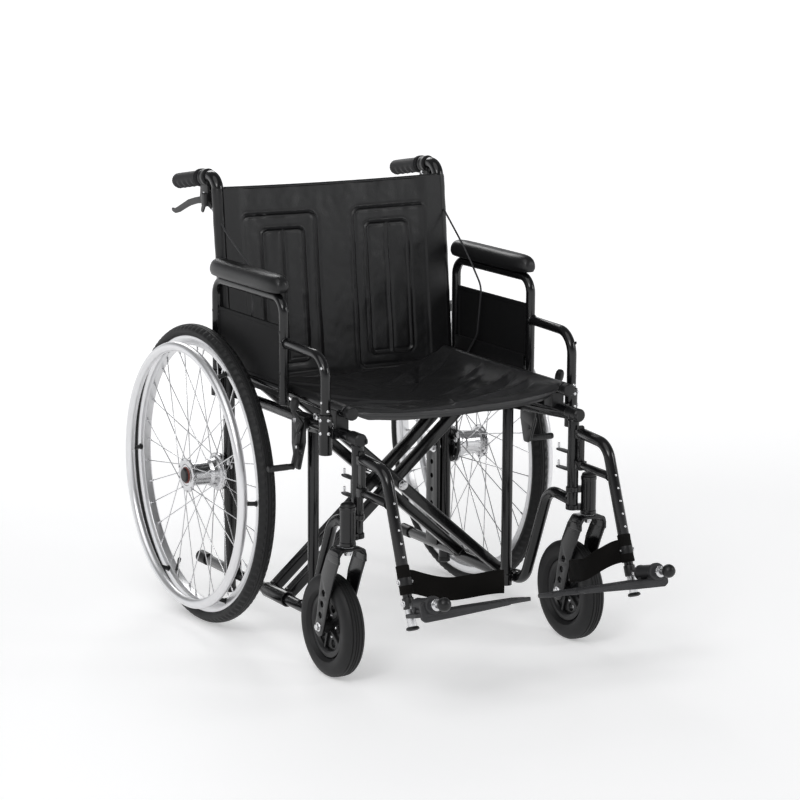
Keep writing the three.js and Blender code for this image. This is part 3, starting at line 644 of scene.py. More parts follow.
def brake_cable(s):
    tube(s, CABLE_LINE, 2, CABLE, bend=45, sides=14, edge=0.3)
    ends = ((CABLE_LINE[0], CABLE_LINE[1]), (CABLE_LINE[-1], CABLE_LINE[-2]))
    for end, inner in ends:
        way = (Vector(inner) - Vector(end)).normalized()
        turned(s, rounded([(2.2, -0.4), (3.2, 0), (3.2, 12), (2.2, 14)], 0.4), end, way, STEEL, sides=24)


def drum_plate(s):
    """Brake backing plate with its cable arm, and the wheel's axle and nut."""
    profile = [(14, 0), (24, 0), (27, 1.6), (33, 1.6), (36, 0.6), (37, 1.6), (37, 4.6), (36, 5.2), (8, 5.2)]
    turned(s, rounded([(8, -1.6), *profile[1:]], 0.5), (268.4, 0, WHEEL_R), X, SATIN, sides=72)
    for k in range(8):
        rivet(s, round_wheel(tau * k / 8, 30, 270), -X, 2, 1.4)
    tube(s, [(229, 0, WHEEL_R), (350, 0, WHEEL_R)], 6, STEEL)
    bolt(s, (232, 0, WHEEL_R), -X, 10, 8)
    turned(s, [(9, 0), (12, 0.6), (12, 3), (9, 3.6)], (241, 0, WHEEL_R), X, STEEL)
    strap(s, (0, WHEEL_R), (-34, WHEEL_R + 16), 12, 264.4, 267.4, STEEL)
    rivet(s, (264.4, -34, WHEEL_R + 16), -X, 4, 3)


# ---- rear wheel ----
def round_wheel(angle, radius, x):
    return Vector((x, *polar(radius, angle, 0, WHEEL_R)))


def rear_hub(s):
    barrel = [(9, HUB_IN), (21, HUB_IN), (22, HUB_IN + 1), (22, HUB_OUT - 1), (21, HUB_OUT), (9, HUB_OUT)]
    turned(s, barrel, HUB, X, STEEL, sides=56)
    cap = [(14.8, HUB_OUT), (15, HUB_OUT + 3), (12.4, HUB_OUT + 6), (8, HUB_OUT + 6.3), (0.5, HUB_OUT + 6.5)]
    turned(s, cap, HUB, X, PLASTIC, sides=48)
    turned(s, [(16.8, HUB_OUT - 1), (16.8, HUB_OUT + 1.6), (13, HUB_OUT + 2)], HUB, X, RUST_RED, sides=48)


def rear_spokes(s):
    """Both flanges and their drilled rims, the brake drum's ribs, and the crossed spokes with nipples."""
    drum = [(22.3, HUB_IN), (35, HUB_IN), (38.6, HUB_IN + 1.6), (39, HUB_IN + 3), (39, 281), (37.4, 282),
            (33, 282.6), (29.5, 285), (28, 290), (28, 297), (25.5, 301), (24, 304), (23.6, 336), (25, 341),
            (29, 344.6), (34.4, 345), (35.2, 346), (35.2, 348.4), (34, 349.2), (22.3, 349.2)]
    turned(s, closed(drum, 0.7, steps=2), HUB, X, STEEL, sides=96, loop=True)
    for i in range(SPOKES):
        inner = i % 2 == 0
        lead = 1 if (i // 2) % 2 == 0 else -1
        rim_angle = tau * (i + 0.5) / SPOKES
        hub_angle = rim_angle - lead * 0.6
        start = round_wheel(hub_angle, 33, (279 if inner else 347) + lead * 2.4)
        end = round_wheel(rim_angle, RIM_INNER_R + 2, WHEEL_X + (-3 if inner else 3))
        tube(s, [start, end], 1.05, STEEL, sides=10, edge=0.3)
        way = (end - start).normalized()
        rivet(s, start + X * lead * 0.9, X * lead, 2.2, 1.2)
        nipple = [(1.4, 0), (1.9, 0.6), (2.0, 9), (2.6, 11), (2.6, 15)]
        turned(s, nipple, end - way * 13, way, STEEL, sides=14)


def rear_rim(s):
    half = [(RIM_INNER_R, -7.5), (RIM_INNER_R + 6, -12), (RIM_R - 4, -13), (RIM_R + 1.2, -12.6),
            (RIM_R + 1.2, -10.4), (RIM_R - 5, -9)]
    profile = [(r, WHEEL_X + x) for r, x in mirrored(half)]
    turned(s, closed(profile, 2), (0, 0, WHEEL_R), X, ALLOY, sides=180, loop=True)
    stem = [(3.4, 0), (3.4, 16), (2.6, 18), (2.6, 26), (3.6, 26.4), (3.6, 34), (2.8, 36)]
    angle = radians(-62)
    inward = Vector((0, -cos(angle), -sin(angle)))
    turned(s, stem, round_wheel(angle, RIM_INNER_R + 3, WHEEL_X), inward, PLASTIC, sides=20)


def rear_tyre(s):
    """Rounded tyre: fine ribs round the crown, and notches across both shoulders."""
    crown = WHEEL_R
    profile = [(RIM_R + 0.6, -11), (RIM_R + 3, -14.2), (RIM_R + 7, -16.8), (RIM_R + 11, -17.5),
               (RIM_R + 14.5, -16.8), (RIM_R + 17, -15.4), (crown - 4.6, -13.2), (crown - 3, -10.6),
               (crown - 1.6, -8.4), (crown - 2.6, -7.4), (crown - 0.8, -6), (crown - 0.3, -4),
               (crown - 1.6, -3), (crown - 0.1, -2), (crown, 0)]
    profile += [(r, -x) for r, x in reversed(profile[:-1])]
    notched = [5 <= min(k, len(profile) - 1 - k) <= 8 for k in range(len(profile))]
    sides = 432
    rings = []
    for (radius, x), cut in zip(profile, notched):
        ring = []
        for j in range(sides):
            angle = tau * (j + (0.5 if x > 0 else 0)) / sides
            depth = 2.2 if cut and j % 4 < 2 else 0
            ring.append(round_wheel(angle, radius - depth, WHEEL_X + x))
        rings.append(ring)
    skin(s, rings, TYRE, loop=True)


def handrim(s):
    ring = [(HANDRIM_R + a, HANDRIM_X + b * 0.98) for a, b in disc(HANDRIM_TUBE, 28)]
    turned(s, ring, (0, 0, WHEEL_R), X, ALLOY, sides=180, loop=True)
    for i in range(HANDRIM_TABS):
        angle = tau * (i + 0.02) / HANDRIM_TABS
        corners = [round_wheel(angle, HANDRIM_R - 4, HANDRIM_X - 4), round_wheel(angle, HANDRIM_R, 340),
                   round_wheel(angle, RIM_INNER_R + 7, WHEEL_X + 11)]
        tube(s, corners, 4.4, PLASTIC, bend=8, sides=20)
        foot = corners[-1] - X * 1.6
        turned(s, rounded([(6.6, 0), (6.6, 3), (4, 4)], 0.7), foot, X, PLASTIC, sides=24)
        inward = (Vector((0, 0, WHEEL_R)) - Vector((0, corners[0].y, corners[0].z))).normalized()
        rivet(s, corners[0] + inward * 4.6 + X * 3.4, inward, 2.6, 1.4)


# ---- casters ----
def caster_fork(s):
    """A bent plate crown with two drilled arms, the stem and the caster's axle."""
    arm = [(-554, 262), (-557, 246), (-539, 210), (-517, 160), (-497, 100), (-491, 86), (-478, 80),
           (-465, 86),
           (-462, 100), (-469, 120), (-477, 160), (-489, 210), (-509, 248), (-520, 262)]
    holes = [hoop(CASTER_Y - (z - 100) * 0.27, z, 6.2) for z in (125, 148, 171)]
    for low in (CASTER_X - 30.7, CASTER_X + 26.3):
        plate(s, closed(arm, 8), low, low + 4.4, GLOSS, holes=holes, edge=1.2)
    crown = [(-31.2, 238), (-31.2, 254), (-22, 266), (22, 266), (31.2, 254), (31.2, 238), (26, 238),
             (26, 252),
             (19, 261), (-19, 261), (-26, 252), (-26, 238)]
    outline = [(CASTER_X + a, b) for a, b in closed(crown, 8, steps=6)]
    plate(s, outline, -556, -514, GLOSS, plane="front", edge=1.2)
    turned(s, rounded([(12, 262), (13, 267.4), (8, 267.6)], 0.5), (CASTER_X, STEM_Y, 0), Z, STEEL)
    tube(s, [(CASTER_X, STEM_Y, 250), (CASTER_X, STEM_Y, 331)], 7, STEEL)
    turned(s, [(9, 0), (9, 7), (6, 8)], (CASTER_X, STEM_Y, 261), -Z, STEEL, sides=6)
    tube(s, [(CASTER_X - 32, CASTER_Y, CASTER_R), (CASTER_X + 32, CASTER_Y, CASTER_R)], 4.8, STEEL)
    for end in (-1, 1):
        bolt(s, (CASTER_X + end * 31, CASTER_Y, CASTER_R), X * end, 6.8, 6)


def caster_hub(s):
    middle = (CASTER_X, CASTER_Y, CASTER_R)
    bearing = [(5.6, -24.4), (11.5, -24.4), (12, -24), (14, -13)]
    turned(s, rounded(mirrored(bearing), 0.5), middle, X, PLASTIC, sides=48, loop=True)
    lip = [(50, -11.5), (54, -13.5), (62, -13.5), (62, 13.5), (54, 13.5), (50, 11.5), (47, 8), (47, -8)]
    turned(s, closed(lip, 1.5), middle, X, PLASTIC, sides=96, loop=True)
    holes = [hoop(*polar(36, tau * (i + 0.5) / 5, CASTER_Y, CASTER_R), 8) for i in range(5)]
    holes.append(hoop(CASTER_Y, CASTER_R, 12))
    plate(s, hoop(CASTER_Y, CASTER_R, 49, 72), CASTER_X - 5, CASTER_X + 5, PLASTIC, holes=holes, edge=1)
    for i in range(5):
        angle = tau * i / 5
        spread = [polar(r, angle, CASTER_Y, CASTER_R) for r in (12, 49)]
        strap(s, spread[0], spread[1], 5, CASTER_X - 10, CASTER_X + 10, PLASTIC)
        for end in (-1, 1):
            place = polar(22, angle + 0.63, CASTER_Y, CASTER_R)
            rivet(s, (CASTER_X + end * 5, *place), X * end, 3.2, 2.4)


def caster_tyre(s):
    """A wide tyre with three grooves round its tread."""
    half = CASTER_HALF
    side = [(62.3, -10), (66, -15), (70, -half + 2), (77, -half + 0.4), (84, -half), (90, -half + 1.6),
            (95, -half + 4.6), (98, -half + 8), (99.4, -half + 11), (98.0, -half + 12), (98.0, -half + 13),
            (99.7, -half + 14), (100, -half + 18), (98.4, -half + 19), (98.4, -half + 20), (100, -half + 21)]
    turned(s, mirrored(side), (CASTER_X, CASTER_Y, CASTER_R), X, TYRE, sides=144, loop=True)


# ---- armrest ----
def armrest_frame(s):
    tube(s, [(ARM_X, ARM_REAR_Y, 477), (ARM_X, ARM_REAR_Y, ARM_TOP_Z), (ARM_X, ARM_FRONT_Y, ARM_TOP_Z),
             (ARM_X, ARM_FRONT_Y, 500)], ARM_TUBE, GLOSS, bend=32)
    tube(s, [(ARM_X, ARM_FRONT_Y, ARM_STEP_Z), (ARM_POST_X, ARM_POST_Y, ARM_STEP_Z - 3),
             (ARM_POST_X, ARM_POST_Y, 441)], ARM_TUBE, GLOSS)
    tube(s, [(ARM_X, ARM_REAR_Y, 526), (ARM_X, ARM_FRONT_Y, 526)], 6, GLOSS)
    weld(s, (ARM_X, ARM_FRONT_Y - 9, ARM_STEP_Z), -Y, ARM_TUBE)
    weld(s, (ARM_X, ARM_FRONT_Y + 9, 526), Y, 6)
    turned(s, rounded([(9.6, 0), (9.6, 6), (6, 8)], 1), (ARM_X, ARM_FRONT_Y, 504), -Z, PLASTIC)
    for y, z in ((ARM_POST_Y, 596), (ARM_POST_Y, 530)):
        rivet(s, (ARM_POST_X + 9, y, z), X, 3.2, 1.8)
    for y, z in ((ARM_FRONT_Y, 640), (ARM_FRONT_Y, 560), (ARM_REAR_Y, 640), (ARM_REAR_Y, 560)):
        rivet(s, (ARM_X + 9, y, z), X, 2.8, 1.6, GLOSS)
    rivet(s, (ARM_POST_X, ARM_POST_Y - 9, 514), -Y, 3.4, 3.4)
    for y in (-70, -235):
        block(s, (ARM_X - 7, ARM_X + 7), (y - 9, y + 9), (ARM_TOP_Z + 5, ARM_TOP_Z + 11), PLASTIC)


def arm_pad(s):
    """A long foam bun: full round top, a parting line, and a flatter underside on the tube."""
    half_x, front, rear = 24, -299, 0
    low, parting, top = 714.6, 724, 747.5
    middle = (front + rear) / 2
    half_y = (rear - front) / 2
    rings = []
    levels = 30
    for k in range(levels + 1):
        t = k / levels
        if t < 0.2:
            rise = t / 0.2
            z = low + (parting - low) * rise
            inset = 3.2 * (1 - sin(rise * pi / 2)) + (1.6 if t > 0.185 else 0)
        else:
            angle = (t - 0.2) / 0.8 * pi / 2
            z = parting + (top - parting) * sin(angle) ** 0.95
            inset = 24 * (1 - cos(angle) ** 0.68)
        ring = []
        for j in range(120):
            a = tau * j / 120
            power = 0.62
            cx, cy = cos(a), sin(a)
            px = copysign(abs(cx) ** power, cx) * max(0.6, half_x - inset)
            run = half_y - inset * 1.1
            py = copysign(abs(cy) ** 0.42, cy) * run
            ease = max(0.0, abs(py) / half_y - 0.72) / 0.28
            crown = 3.4 * ease ** 2 if t > 0.2 else 0
            ring.append(Vector((ARM_X + px, middle + py, z - crown * (t - 0.2))))
        rings.append(ring)
    skin(s, rings, PAD)


def side_panel(s):
    """Skirt guard: a thin panel with a rolled hem, tabs and screws."""
    y, z = (ARM_FRONT_Y + 10.5, ARM_REAR_Y - 10.5), (532.6, 650)
    outline = closed(oblong(y, z), 7, steps=6)
    plate(s, outline, ARM_X - 1.6, ARM_X + 1.6, PANEL)
    inner = closed(oblong((y[0] + 7, y[1] - 7), (z[0] + 7, z[1] - 7)), 5, steps=6)
    plate(s, outline, ARM_X - 2.7, ARM_X + 2.7, PANEL, holes=[inner], edge=1.2)
    hem = closed(oblong(y, (506, 546)), 6)
    plate(s, hem, ARM_X - 9.4, ARM_X - 7, PANEL)                # hangs inside the cross tube
    block(s, (ARM_X - 7.4, ARM_X - 1), (y[0] + 2, y[1] - 2), (537, 545), PANEL)
    for edge in (y[0] + 3.5, y[1] - 3.5):
        for height in (560, 600, 634):
            rivet(s, (ARM_X + 2.6, edge, height), X, 2.2, 0.9, PLASTIC)


def arm_lock(s):
    """The small bright latch by the front armrest socket."""
    block(s, (257, 262), (-446, -394), (485.5, 490.5), STEEL, corner=2)
    outline = closed([(-400, 483), (-386, 482), (-384, 494), (-392, 496), (-400, 491)], 3)
    plate(s, outline, 256.5, 262.5, STEEL)
    turned(s, rounded([(4.4, 0), (4.4, 5), (3, 6)], 0.6), (256.5, -441, 488), X, STEEL, sides=28)


# ---- hanger and footrest ----
def on_hanger(z):
    """A point on the leaning foot tube's axis."""
    return Vector((HANGER_X, -654 - (382 - z) * tan(HANGER_LEAN), z))


def hanger(s):
    top, foot = on_hanger(382), on_hanger(228)
    tube(s, [(HANGER_X, -549, 434), (HANGER_X, -637, 428), foot], TUBE, GLOSS, bend=42)
    tube(s, [(HANGER_X, -549, 370), (HANGER_X, -656, 368)], 8, GLOSS)
    way = (foot - top).normalized()
    weld(s, (HANGER_X, -647, 368.4), Y, 8)
    for z in (432, 370):
        outline = [(POST_X, POST_Y - 8), (HANGER_X + 9, -537), (HANGER_X + 9, -556), (HANGER_X - 9, -556),
                   (HANGER_X - 9, -537)]
        plate(s, closed(outline, 4), z - 9, z + 9, GLOSS, plane="flat", edge=1.5)
        turned(s, rounded([(6, 0), (6, 6), (4, 8)], 1), (HANGER_X, -546, z + 9), Z, PLASTIC)
    block(s, (HANGER_X - 5, HANGER_X + 5), (-552, -537), (372, 432), GLOSS)
    outward = way.cross(X).normalized()
    if outward.y > 0:
        outward = -outward
    for k in range(6):
        point = top + way * (12 + 25 * k)
        rivet(s, point + outward * (TUBE - 0.3), outward, 2.5, 1.5)
    collar = [(TUBE - 1, 0), (TUBE + 2, 0.5), (TUBE + 2, 15), (TUBE - 1, 16)]
    turned(s, rounded(collar, 0.8), foot - way * 16, way, PLASTIC)
    bolt(s, foot - way * 8 + X * (TUBE + 1.5), X, 4.2, 4)
    turned(s, [(3, -16), (3, 16)], foot - way * 8, X, STEEL, sides=20)


def hanger_latch(s):
    for z in (389, 354):
        outline = [(235, -508), (250, -508), (250, -480), (247, -467), (238, -467), (235, -474)]
        plate(s, closed(outline, 3), z - 1.5, z + 1.5, SATIN, plane="flat", edge=0.4)
        turned(s, rounded([(2.5, 0), (2.5, 12), (1.5, 13)], 0.5), (242, -472, z), Z, STEEL, sides=20)
    outline = closed(oblong((238, 248), (350, 393)), 3)
    plate(s, outline, -511.2, -506, SATIN, plane="front")


def pitched(shape):
    """Set points that were built flat round a footplate hinge at the origin in their place."""
    hinge = Vector((0, FOOT_HINGE_Y, FOOT_HINGE_Z))
    shape.points = [FOOT_PITCH @ Vector(point) + hinge for point in shape.points]


def foot_tube(s):
    tube(s, [(HANGER_X, 60, 0), (HANGER_X, -25, 0)], 6, STEEL)
    pitched(s)
    tube(s, [on_hanger(305), on_hanger(206)], FOOT_TUBE, GLOSS)
    tube(s, [on_hanger(212), on_hanger(153)], FOOT_TUBE - 0.6, STEEL)
    way = (on_hanger(152) - on_hanger(305)).normalized()
    turned(s, rounded([(8, 0), (11, 1), (12.4, 3), (12.4, 6), (8, 8)], 1), on_hanger(158), way, PLASTIC)
    low = on_hanger(198)
    turned(s, rounded([(8.6, -11), (11, -10), (11, 10), (8.6, 11)], 1), low, way, SATIN)
    bolt(s, low + X * 10, X, 4.6, 5)


def footplate(s):
    """A moulded board with grip ribs and a deep front lip, on a hinge barrel with a ball knob."""
    hinge = (HANGER_X, 0, 0)
    outline = [(24, 50), (150, 50), (186, 42), (236, 42), (236, 28), (274, 28), (276, -20), (262, -32),
               (90, -32),
               (24, -12)]
    plate(s, closed(outline, 9), -19.8, -12.2, COMPOSITE, plane="flat", edge=1.6)
    for k in range(8):
        y = 40 - 8 * k
        inner = 34 + max(0, k - 5) * 18
        block(s, (inner, 148 if k < 1 else 226), (y - 1.3, y + 1.3), (-12.8, -11), COMPOSITE, corner=1.2,
              edge=0.5)
    lip = [(60, -13.4), (84, -21), (200, -27.5), (262, -30), (270, -24), (270, 2), (264, 8), (242, 8),
           (228, -13)]
    plate(s, closed(lip, 6), -31, -23, COMPOSITE, plane="front", edge=1.6)
    for y in (12, -20):
        web = closed([(226, -18), (266, -18), (261, 0), (239, 0)], 5)
        plate(s, web, y - 4, y + 4, COMPOSITE, plane="front", edge=1)
    block(s, (239, 261), (-28, 22), (-17, -6), COMPOSITE, corner=4, edge=2)
    barrel = [(6.6, -24), (14, -24), (15, -23), (15, -20), (14.2, -19), (14.2, 22), (15, 24), (17, 27),
              (17, 34),
              (15.6, 36), (8, 36)]
    turned(s, rounded(barrel, 0.7), hinge, -Y, COMPOSITE, sides=56)
    neck = [(8, 30), (8, 41), (11, 42), (11, 46), (7, 47.5), (7, 66)]
    turned(s, rounded(neck, 0.6), hinge, -Y, STEEL, sides=40)
    knob = [(6.5, 60)] + [(13 * sin(a * pi / 20), 72 - 13 * cos(a * pi / 20)) for a in range(4, 20)]
    turned(s, knob + [(1.5, 84.9)], hinge, -Y, PLASTIC, sides=48)
    for x in (80, 160):
        turned(s, [(8, 0), (8, 1.5), (5, 2)], (x, 6, -19.8), -Z, COMPOSITE)
    pitched(s)


def heel_loop(s):
    """A cloth sleeve round the foot tube, and a band that sags back and round to the board's inner end."""

    def band(u, v):
        x = 237 - 165 * u
        top = 256 - 20 * sin(pi * u) ** 1.2 - 5 * u
        bow = 30 * sin(pi * u) ** 0.9 * (1 - 0.3 * u)
        fold = 1.2 * sin(u * 21 + v * 4) * (1 - v) + 0.8 * sin(u * 9 - v * 5)
        lean = 8 * v * (1 - u)
        return Vector((x, -703 - 72 * u ** 1.4 + bow + fold - lean, top - 44 * v + 1.2 * sin(u * 9)))

    cloth(s, band, 90, 22, 1.8, WEBBING)
    for v in (0.06, 0.94):
        stitch_line(s, lambda u, v=v: band(u, v), 60)
    way = (on_hanger(214) - on_hanger(262)).normalized()
    sleeve = [(FOOT_TUBE + 3.0, 0), (FOOT_TUBE + 3.8, 1.5), (FOOT_TUBE + 3.4, 12), (FOOT_TUBE + 4, 26),
              (FOOT_TUBE + 3.5, 40), (FOOT_TUBE + 3.9, 52), (FOOT_TUBE + 3, 54)]
    turned(s, sleeve, on_hanger(264), way, WEBBING, sides=40)


def stitch_line(s, line, count):
    """Small thread stitches that follow a line given by a share from 0 to 1."""
    for k in range(count):
        start, end = line((k + 0.2) / count), line((k + 0.75) / count)
        side = (end - start).cross(Z)
        lift = side.normalized() if side.length > 1e-6 else -Y
        for way in (1, -1):
            tube(s, [start + lift * way, end + lift * way], 0.45, WEBBING, sides=6, edge=0.15)


# ---- wheel lock ----
def wheel_lock_bracket(s):
    outline = [(-298, 476), (-352, 476), (-352, 430), (-330, 372), (-312, 372), (-298, 420)]
    holes = [hoop(-335, 405, 3.4), hoop(-320, 440, 3.4)]
    plate(s, closed(outline, 6), 260, 264, SATIN, holes=holes)
    clamp = [(10.9, 0), (13.6, 1), (13.6, 39), (10.9, 40)]
    turned(s, rounded(clamp, 0.8), (SIDE_X, -345, SIDE_Z), Y, SATIN, sides=48)
    block(s, (253, 262), (-346, -304), (456, 480), SATIN, corner=2)
    for y in (-338, -312):
        bolt(s, (264, y, 468), X, 4.2, 4)


def wheel_lock_lever(s):
    tube(s, [(269.5, -335, 448), (269.5, -350, 470), (300, -372, 500), (300, -380, 514)], 4, SATIN, bend=12)
    grip = [(3.8, 0), (7, 1), (8.6, 5), (9, 12), (8.2, 20), (6, 24), (2, 25.4)]
    turned(s, grip, (300, -376, 504), (0, -6, 16), PLASTIC)
    strap(s, (-335, 450), (-326, 418), 16, 265, 268, SATIN)
    bolt(s, (268, -335, 450), X, 4, 3.6)
    rivet(s, (268, -326, 419), X, 4, 2.2)


def wheel_lock_shoe(s):
    strap(s, (-335, 420), (-318, 378), 13, 269.6, 273.4, SATIN)
    tube(s, [(270.5, -318, 378), (326, -318, 378)], 5.9, SATIN)
    grooves = [(6, 0), (6.4, 0.6)]
    for k in range(9):
        grooves += [(6.4, 3 + 4 * k), (5.9, 3.8 + 4 * k), (6.4, 4.6 + 4 * k)]
    turned(s, [*grooves, (6.2, 42), (5, 42.4)], (283, -318, 378), X, SATIN, sides=32)
    rivet(s, (273.4, -335, 420), X, 4, 2.4)


# ---- brace ----
def brace_arm(s, side, tube_y):
    """Two square-cornered bars, the sleeve that turns on a lower rail, and the far seat rail."""
    section = closed(oblong((-10.6, 10.6), (-10.6, 10.6)), 4.5, steps=4)
    low = Vector((-side * RAIL_X, 0, RAIL_Z))
    high = Vector((side * SEAT_X, 0, SEAT_Z))
    way = (high - low).normalized()
    for y in tube_y:
        start, end = low + Y * y + way * 6, high + Y * y - way * 3
        sweep(s, [(start, way), (end, way)], section, GLOSS)
        weld(s, low + Y * y + way * 15, way, TUBE + 0.6)
        weld(s, high + Y * y - way * 12, -way, TUBE)
    front, rear = min(tube_y) - 13, max(tube_y) + 13
    length = rear - front
    sleeve = [(12, 0), (15.5, 0), (15.5, length), (12, length)]
    turned(s, closed(sleeve, 1), low + Y * front, Y, GLOSS, sides=48, loop=True)
    tube(s, [high + Y * -26, high + Y * -500], TUBE, GLOSS)
    cap = [(11.2, 0), (12.6, 0), (12.8, 3), (12.8, 14), (11.6, 17), (0.5, 18)]
    turned(s, rounded(cap, 1.2), high + Y * -489.5, -Y, PLASTIC)
    turned(s, rounded([(11.4, 0), (12.2, 1), (12.2, 7), (9, 9)], 0.8), high + Y * -33, Y, PLASTIC)
    for y in tube_y:
        boss = closed(mirrored([(5.2, -12.4), (8.5, -12.4)]), 0.5)
        turned(s, boss, (0, y, BRACE_PIVOT_Z), Y, GLOSS, sides=36, loop=True)


def pivot_bolt(s):
    head = [(10, 0), (10, 1.4), (9, 1.6), (9, 5.2), (7, 7.4), (0.5, 7.6)]
    turned(s, head, (0, -274, BRACE_PIVOT_Z), -Y, STEEL, sides=48)
    tube(s, [(0, -276, BRACE_PIVOT_Z), (0, -86, BRACE_PIVOT_Z)], 4.4, STEEL)
    bolt(s, (0, -92.5, BRACE_PIVOT_Z), Y, 8, 6.5)


# ---- seat cloth ----
SEAT_CREASES = [   # (height, half width, line): creases fanning over the seat
    (3.0, 13, [(245, -5), (130, -90), (15, -170)]), (-2.4, 12, [(230, -70), (130, -140), (40, -185)]),
    (2.8, 11, [(240, -300), (160, -345), (95, -362)]), (-2.8, 12, [(240, -325), (160, -362), (70, -405)]),
    (2.2, 12, [(-190, -358), (-100, -356), (-15, -376)]),
    (-2.6, 12, [(-190, -372), (-80, -388), (-70, -452)]),
    (2.4, 11, [(38, -345), (10, -462)]), (2.4, 10, [(235, -196), (150, -240)]),
    (3.0, 13, [(5, -466), (145, -425), (240, -372)]), (-2.2, 13, [(-76, -130), (-52, -240)]),
    (2.6, 13, [(-235, -60), (-140, -130), (-60, -180)]),
    (-2.2, 13, [(-232, -150), (-150, -215), (-70, -290)]),
    (2.4, 12, [(-236, -240), (-150, -285), (-90, -345)]), (-2.4, 12, [(160, -60), (90, -180), (20, -260)]),
    (2.2, 11, [(190, -250), (120, -300), (60, -330)]), (2.0, 12, [(-30, -60), (-10, -180)]),
    (-2.0, 10, [(215, -410), (110, -450)]), (2.0, 10, [(-200, -440), (-120, -470)])]


def crease_height(x, y):
    """The sum of all the creases at a point, each a soft ridge or valley that fades at its ends."""
    total = 0.0
    point = Vector((x, y))
    for height, wide, line in SEAT_CREASES:
        nearest, share = 1e9, 0.0
        for k, (a, b) in enumerate(zip(line, line[1:])):
            a, b = Vector(a), Vector(b)
            t = max(0.0, min(1.0, (point - a).dot(b - a) / (b - a).length_squared))
            distance = (point - a - (b - a) * t).length
            if distance < nearest:
                nearest, share = distance, (k + t) / (len(line) - 1)
        if nearest < 3 * wide:
            fade = sin(pi * (0.12 + 0.8 * share))
            total += 2.6 * height * fade * exp(-(nearest / (0.5 * wide)) ** 1.5)
    return total


SEAT_SPAN = 234.4            # the cloth leaves the rails here
SEAT_EDGE_Z = 521
SEAT_WRAP = 24.0             # how much of it goes round each rail
SEAT_LAP_R = 12.3


def seat_point(u, v):
    """The seat cloth: round the outside of each rail, then sagging between them; v runs to the front."""
    front, rear = -482, -26
    y = rear + (front - rear) * v
    span = 2 * SEAT_SPAN
    along = u * (span + 2 * SEAT_WRAP) - SEAT_WRAP
    if along < 0 or along > span:
        past = -along if along < 0 else along - span
        side = -1 if along < 0 else 1
        angle = radians(42) - past / SEAT_LAP_R
        x = side * (SEAT_X - SEAT_LAP_R * sin(angle))
        return Vector((x, y, SEAT_Z + SEAT_LAP_R * cos(angle)))
    x = along - SEAT_SPAN
    share = x / SEAT_SPAN
    sag = 37 - 17 * max(0.0, (v - 0.35) / 0.65) ** 2
    z = SEAT_EDGE_Z - sag * (1 - 0.53 * share ** 2 - 0.47 * share ** 10)
    calm = min(1.0, (1 - share ** 2) * 4)
    soft = noise.noise(Vector((x / 70, y / 70, 3))) * 2.2 + noise.noise(Vector((x / 24, y / 24, 7))) * 0.9
    z += calm * (crease_height(x, y) + soft)
    front_roll = max(0.0, (v - 0.955) / 0.045)
    return Vector((x, y, z - 5 * front_roll ** 2))


def seat_hem(u, v):
    """The band that hangs from the seat's front edge."""
    edge = seat_point(u, 1)
    calm = min(1.0, (1 - min(1, abs(edge.x) / SEAT_SPAN)) * 6)
    drop = (4 + 10 * calm) * v
    wave = 1.4 * sin(edge.x / 31) * v * calm
    return edge + Vector((0, -2.6 * sin(pi * min(1, v * 1.1)) + wave + 3 * v, -drop))


def seat_sling(s):
    cloth(s, seat_point, 230, 200, 2.6, SEAT_VINYL_PAINTED_LIGHT)
    cloth(s, seat_hem, 230, 10, 2.4, SEAT_VINYL_PAINTED_LIGHT)


# ---- back cloth ----
def cane_y(z):
    """How far back the canes are at a height."""
    if z < 500:
        return CANE_Y
    return CANE_Y + (z - 500) * 38 / 345 if z < 845 else 28 + (z - 845) * 7.5 / 60


def cane_x(z):
    """How far out the canes are at a height."""
    return CANE_X + (z - 500) / 345


def frame_distance(x, z, half_x, low, high, corner):
    """Distance from a rounded rectangle's outline, centred on x = 0."""
    qx = abs(x) - half_x + corner
    qz = abs(z - (low + high) / 2) - (high - low) / 2 + corner
    outside = hypot(max(qx, 0), max(qz, 0))
    return abs(outside + min(max(qx, qz), 0) - corner)


BACK_HALF, BACK_LOW, BACK_TOP = 252, 470, 880


def back_bow(x):
    return 4 * (1 - (x / BACK_HALF) ** 2)


def back_dip(x):
    return 3.5 * (1 - (x / BACK_HALF) ** 2)


def seam_distance(x, z):
    """Distance to the nearest sewn line of the quilted back."""
    side = abs(x)
    lines = [frame_distance(side - 129.5, z, 86.5, 494, 825, 16),
             frame_distance(side - 121, z, 49, 522, 794, 12)]
    if 522 < z < 794:
        lines.append(abs(side - 121))
    lines.append(abs(side - 229))
    return min(lines)


def rise_between(value, low, high):
    """A smooth step from 0 at low to 1 at high."""
    share = max(0.0, min(1.0, (value - low) / (high - low)))
    return share * share * (3 - 2 * share)


def back_height(x, v):
    """Height on the back cloth: its lower corners are cut higher, clear of the side tubes."""
    low = BACK_LOW + 20 * rise_between(abs(x), 150, 192)
    return low + (BACK_TOP - low) * v


def back_point(u, v):
    """The front of the back cloth, stretched across the canes, with raised welts over its sewn lines."""
    x = (2 * u - 1) * BACK_HALF
    z = back_height(x, v)
    away = seam_distance(x, z)
    welt = 2.7 * exp(-(away / 2.0) ** 2) - 1.3 * exp(-((away - 5) / 3) ** 2)
    soft = 2.0 * noise.noise(Vector((x / 60, z / 60, 1))) + 0.5 * noise.noise(Vector((x / 17, z / 17, 5)))
    slack = 1 - rise_between(abs(x), 195, 221)
    y = cane_y(z) - 15 + back_bow(x) + slack * (2 - welt - soft)
    return Vector((x, y, z - back_dip(x) * v))


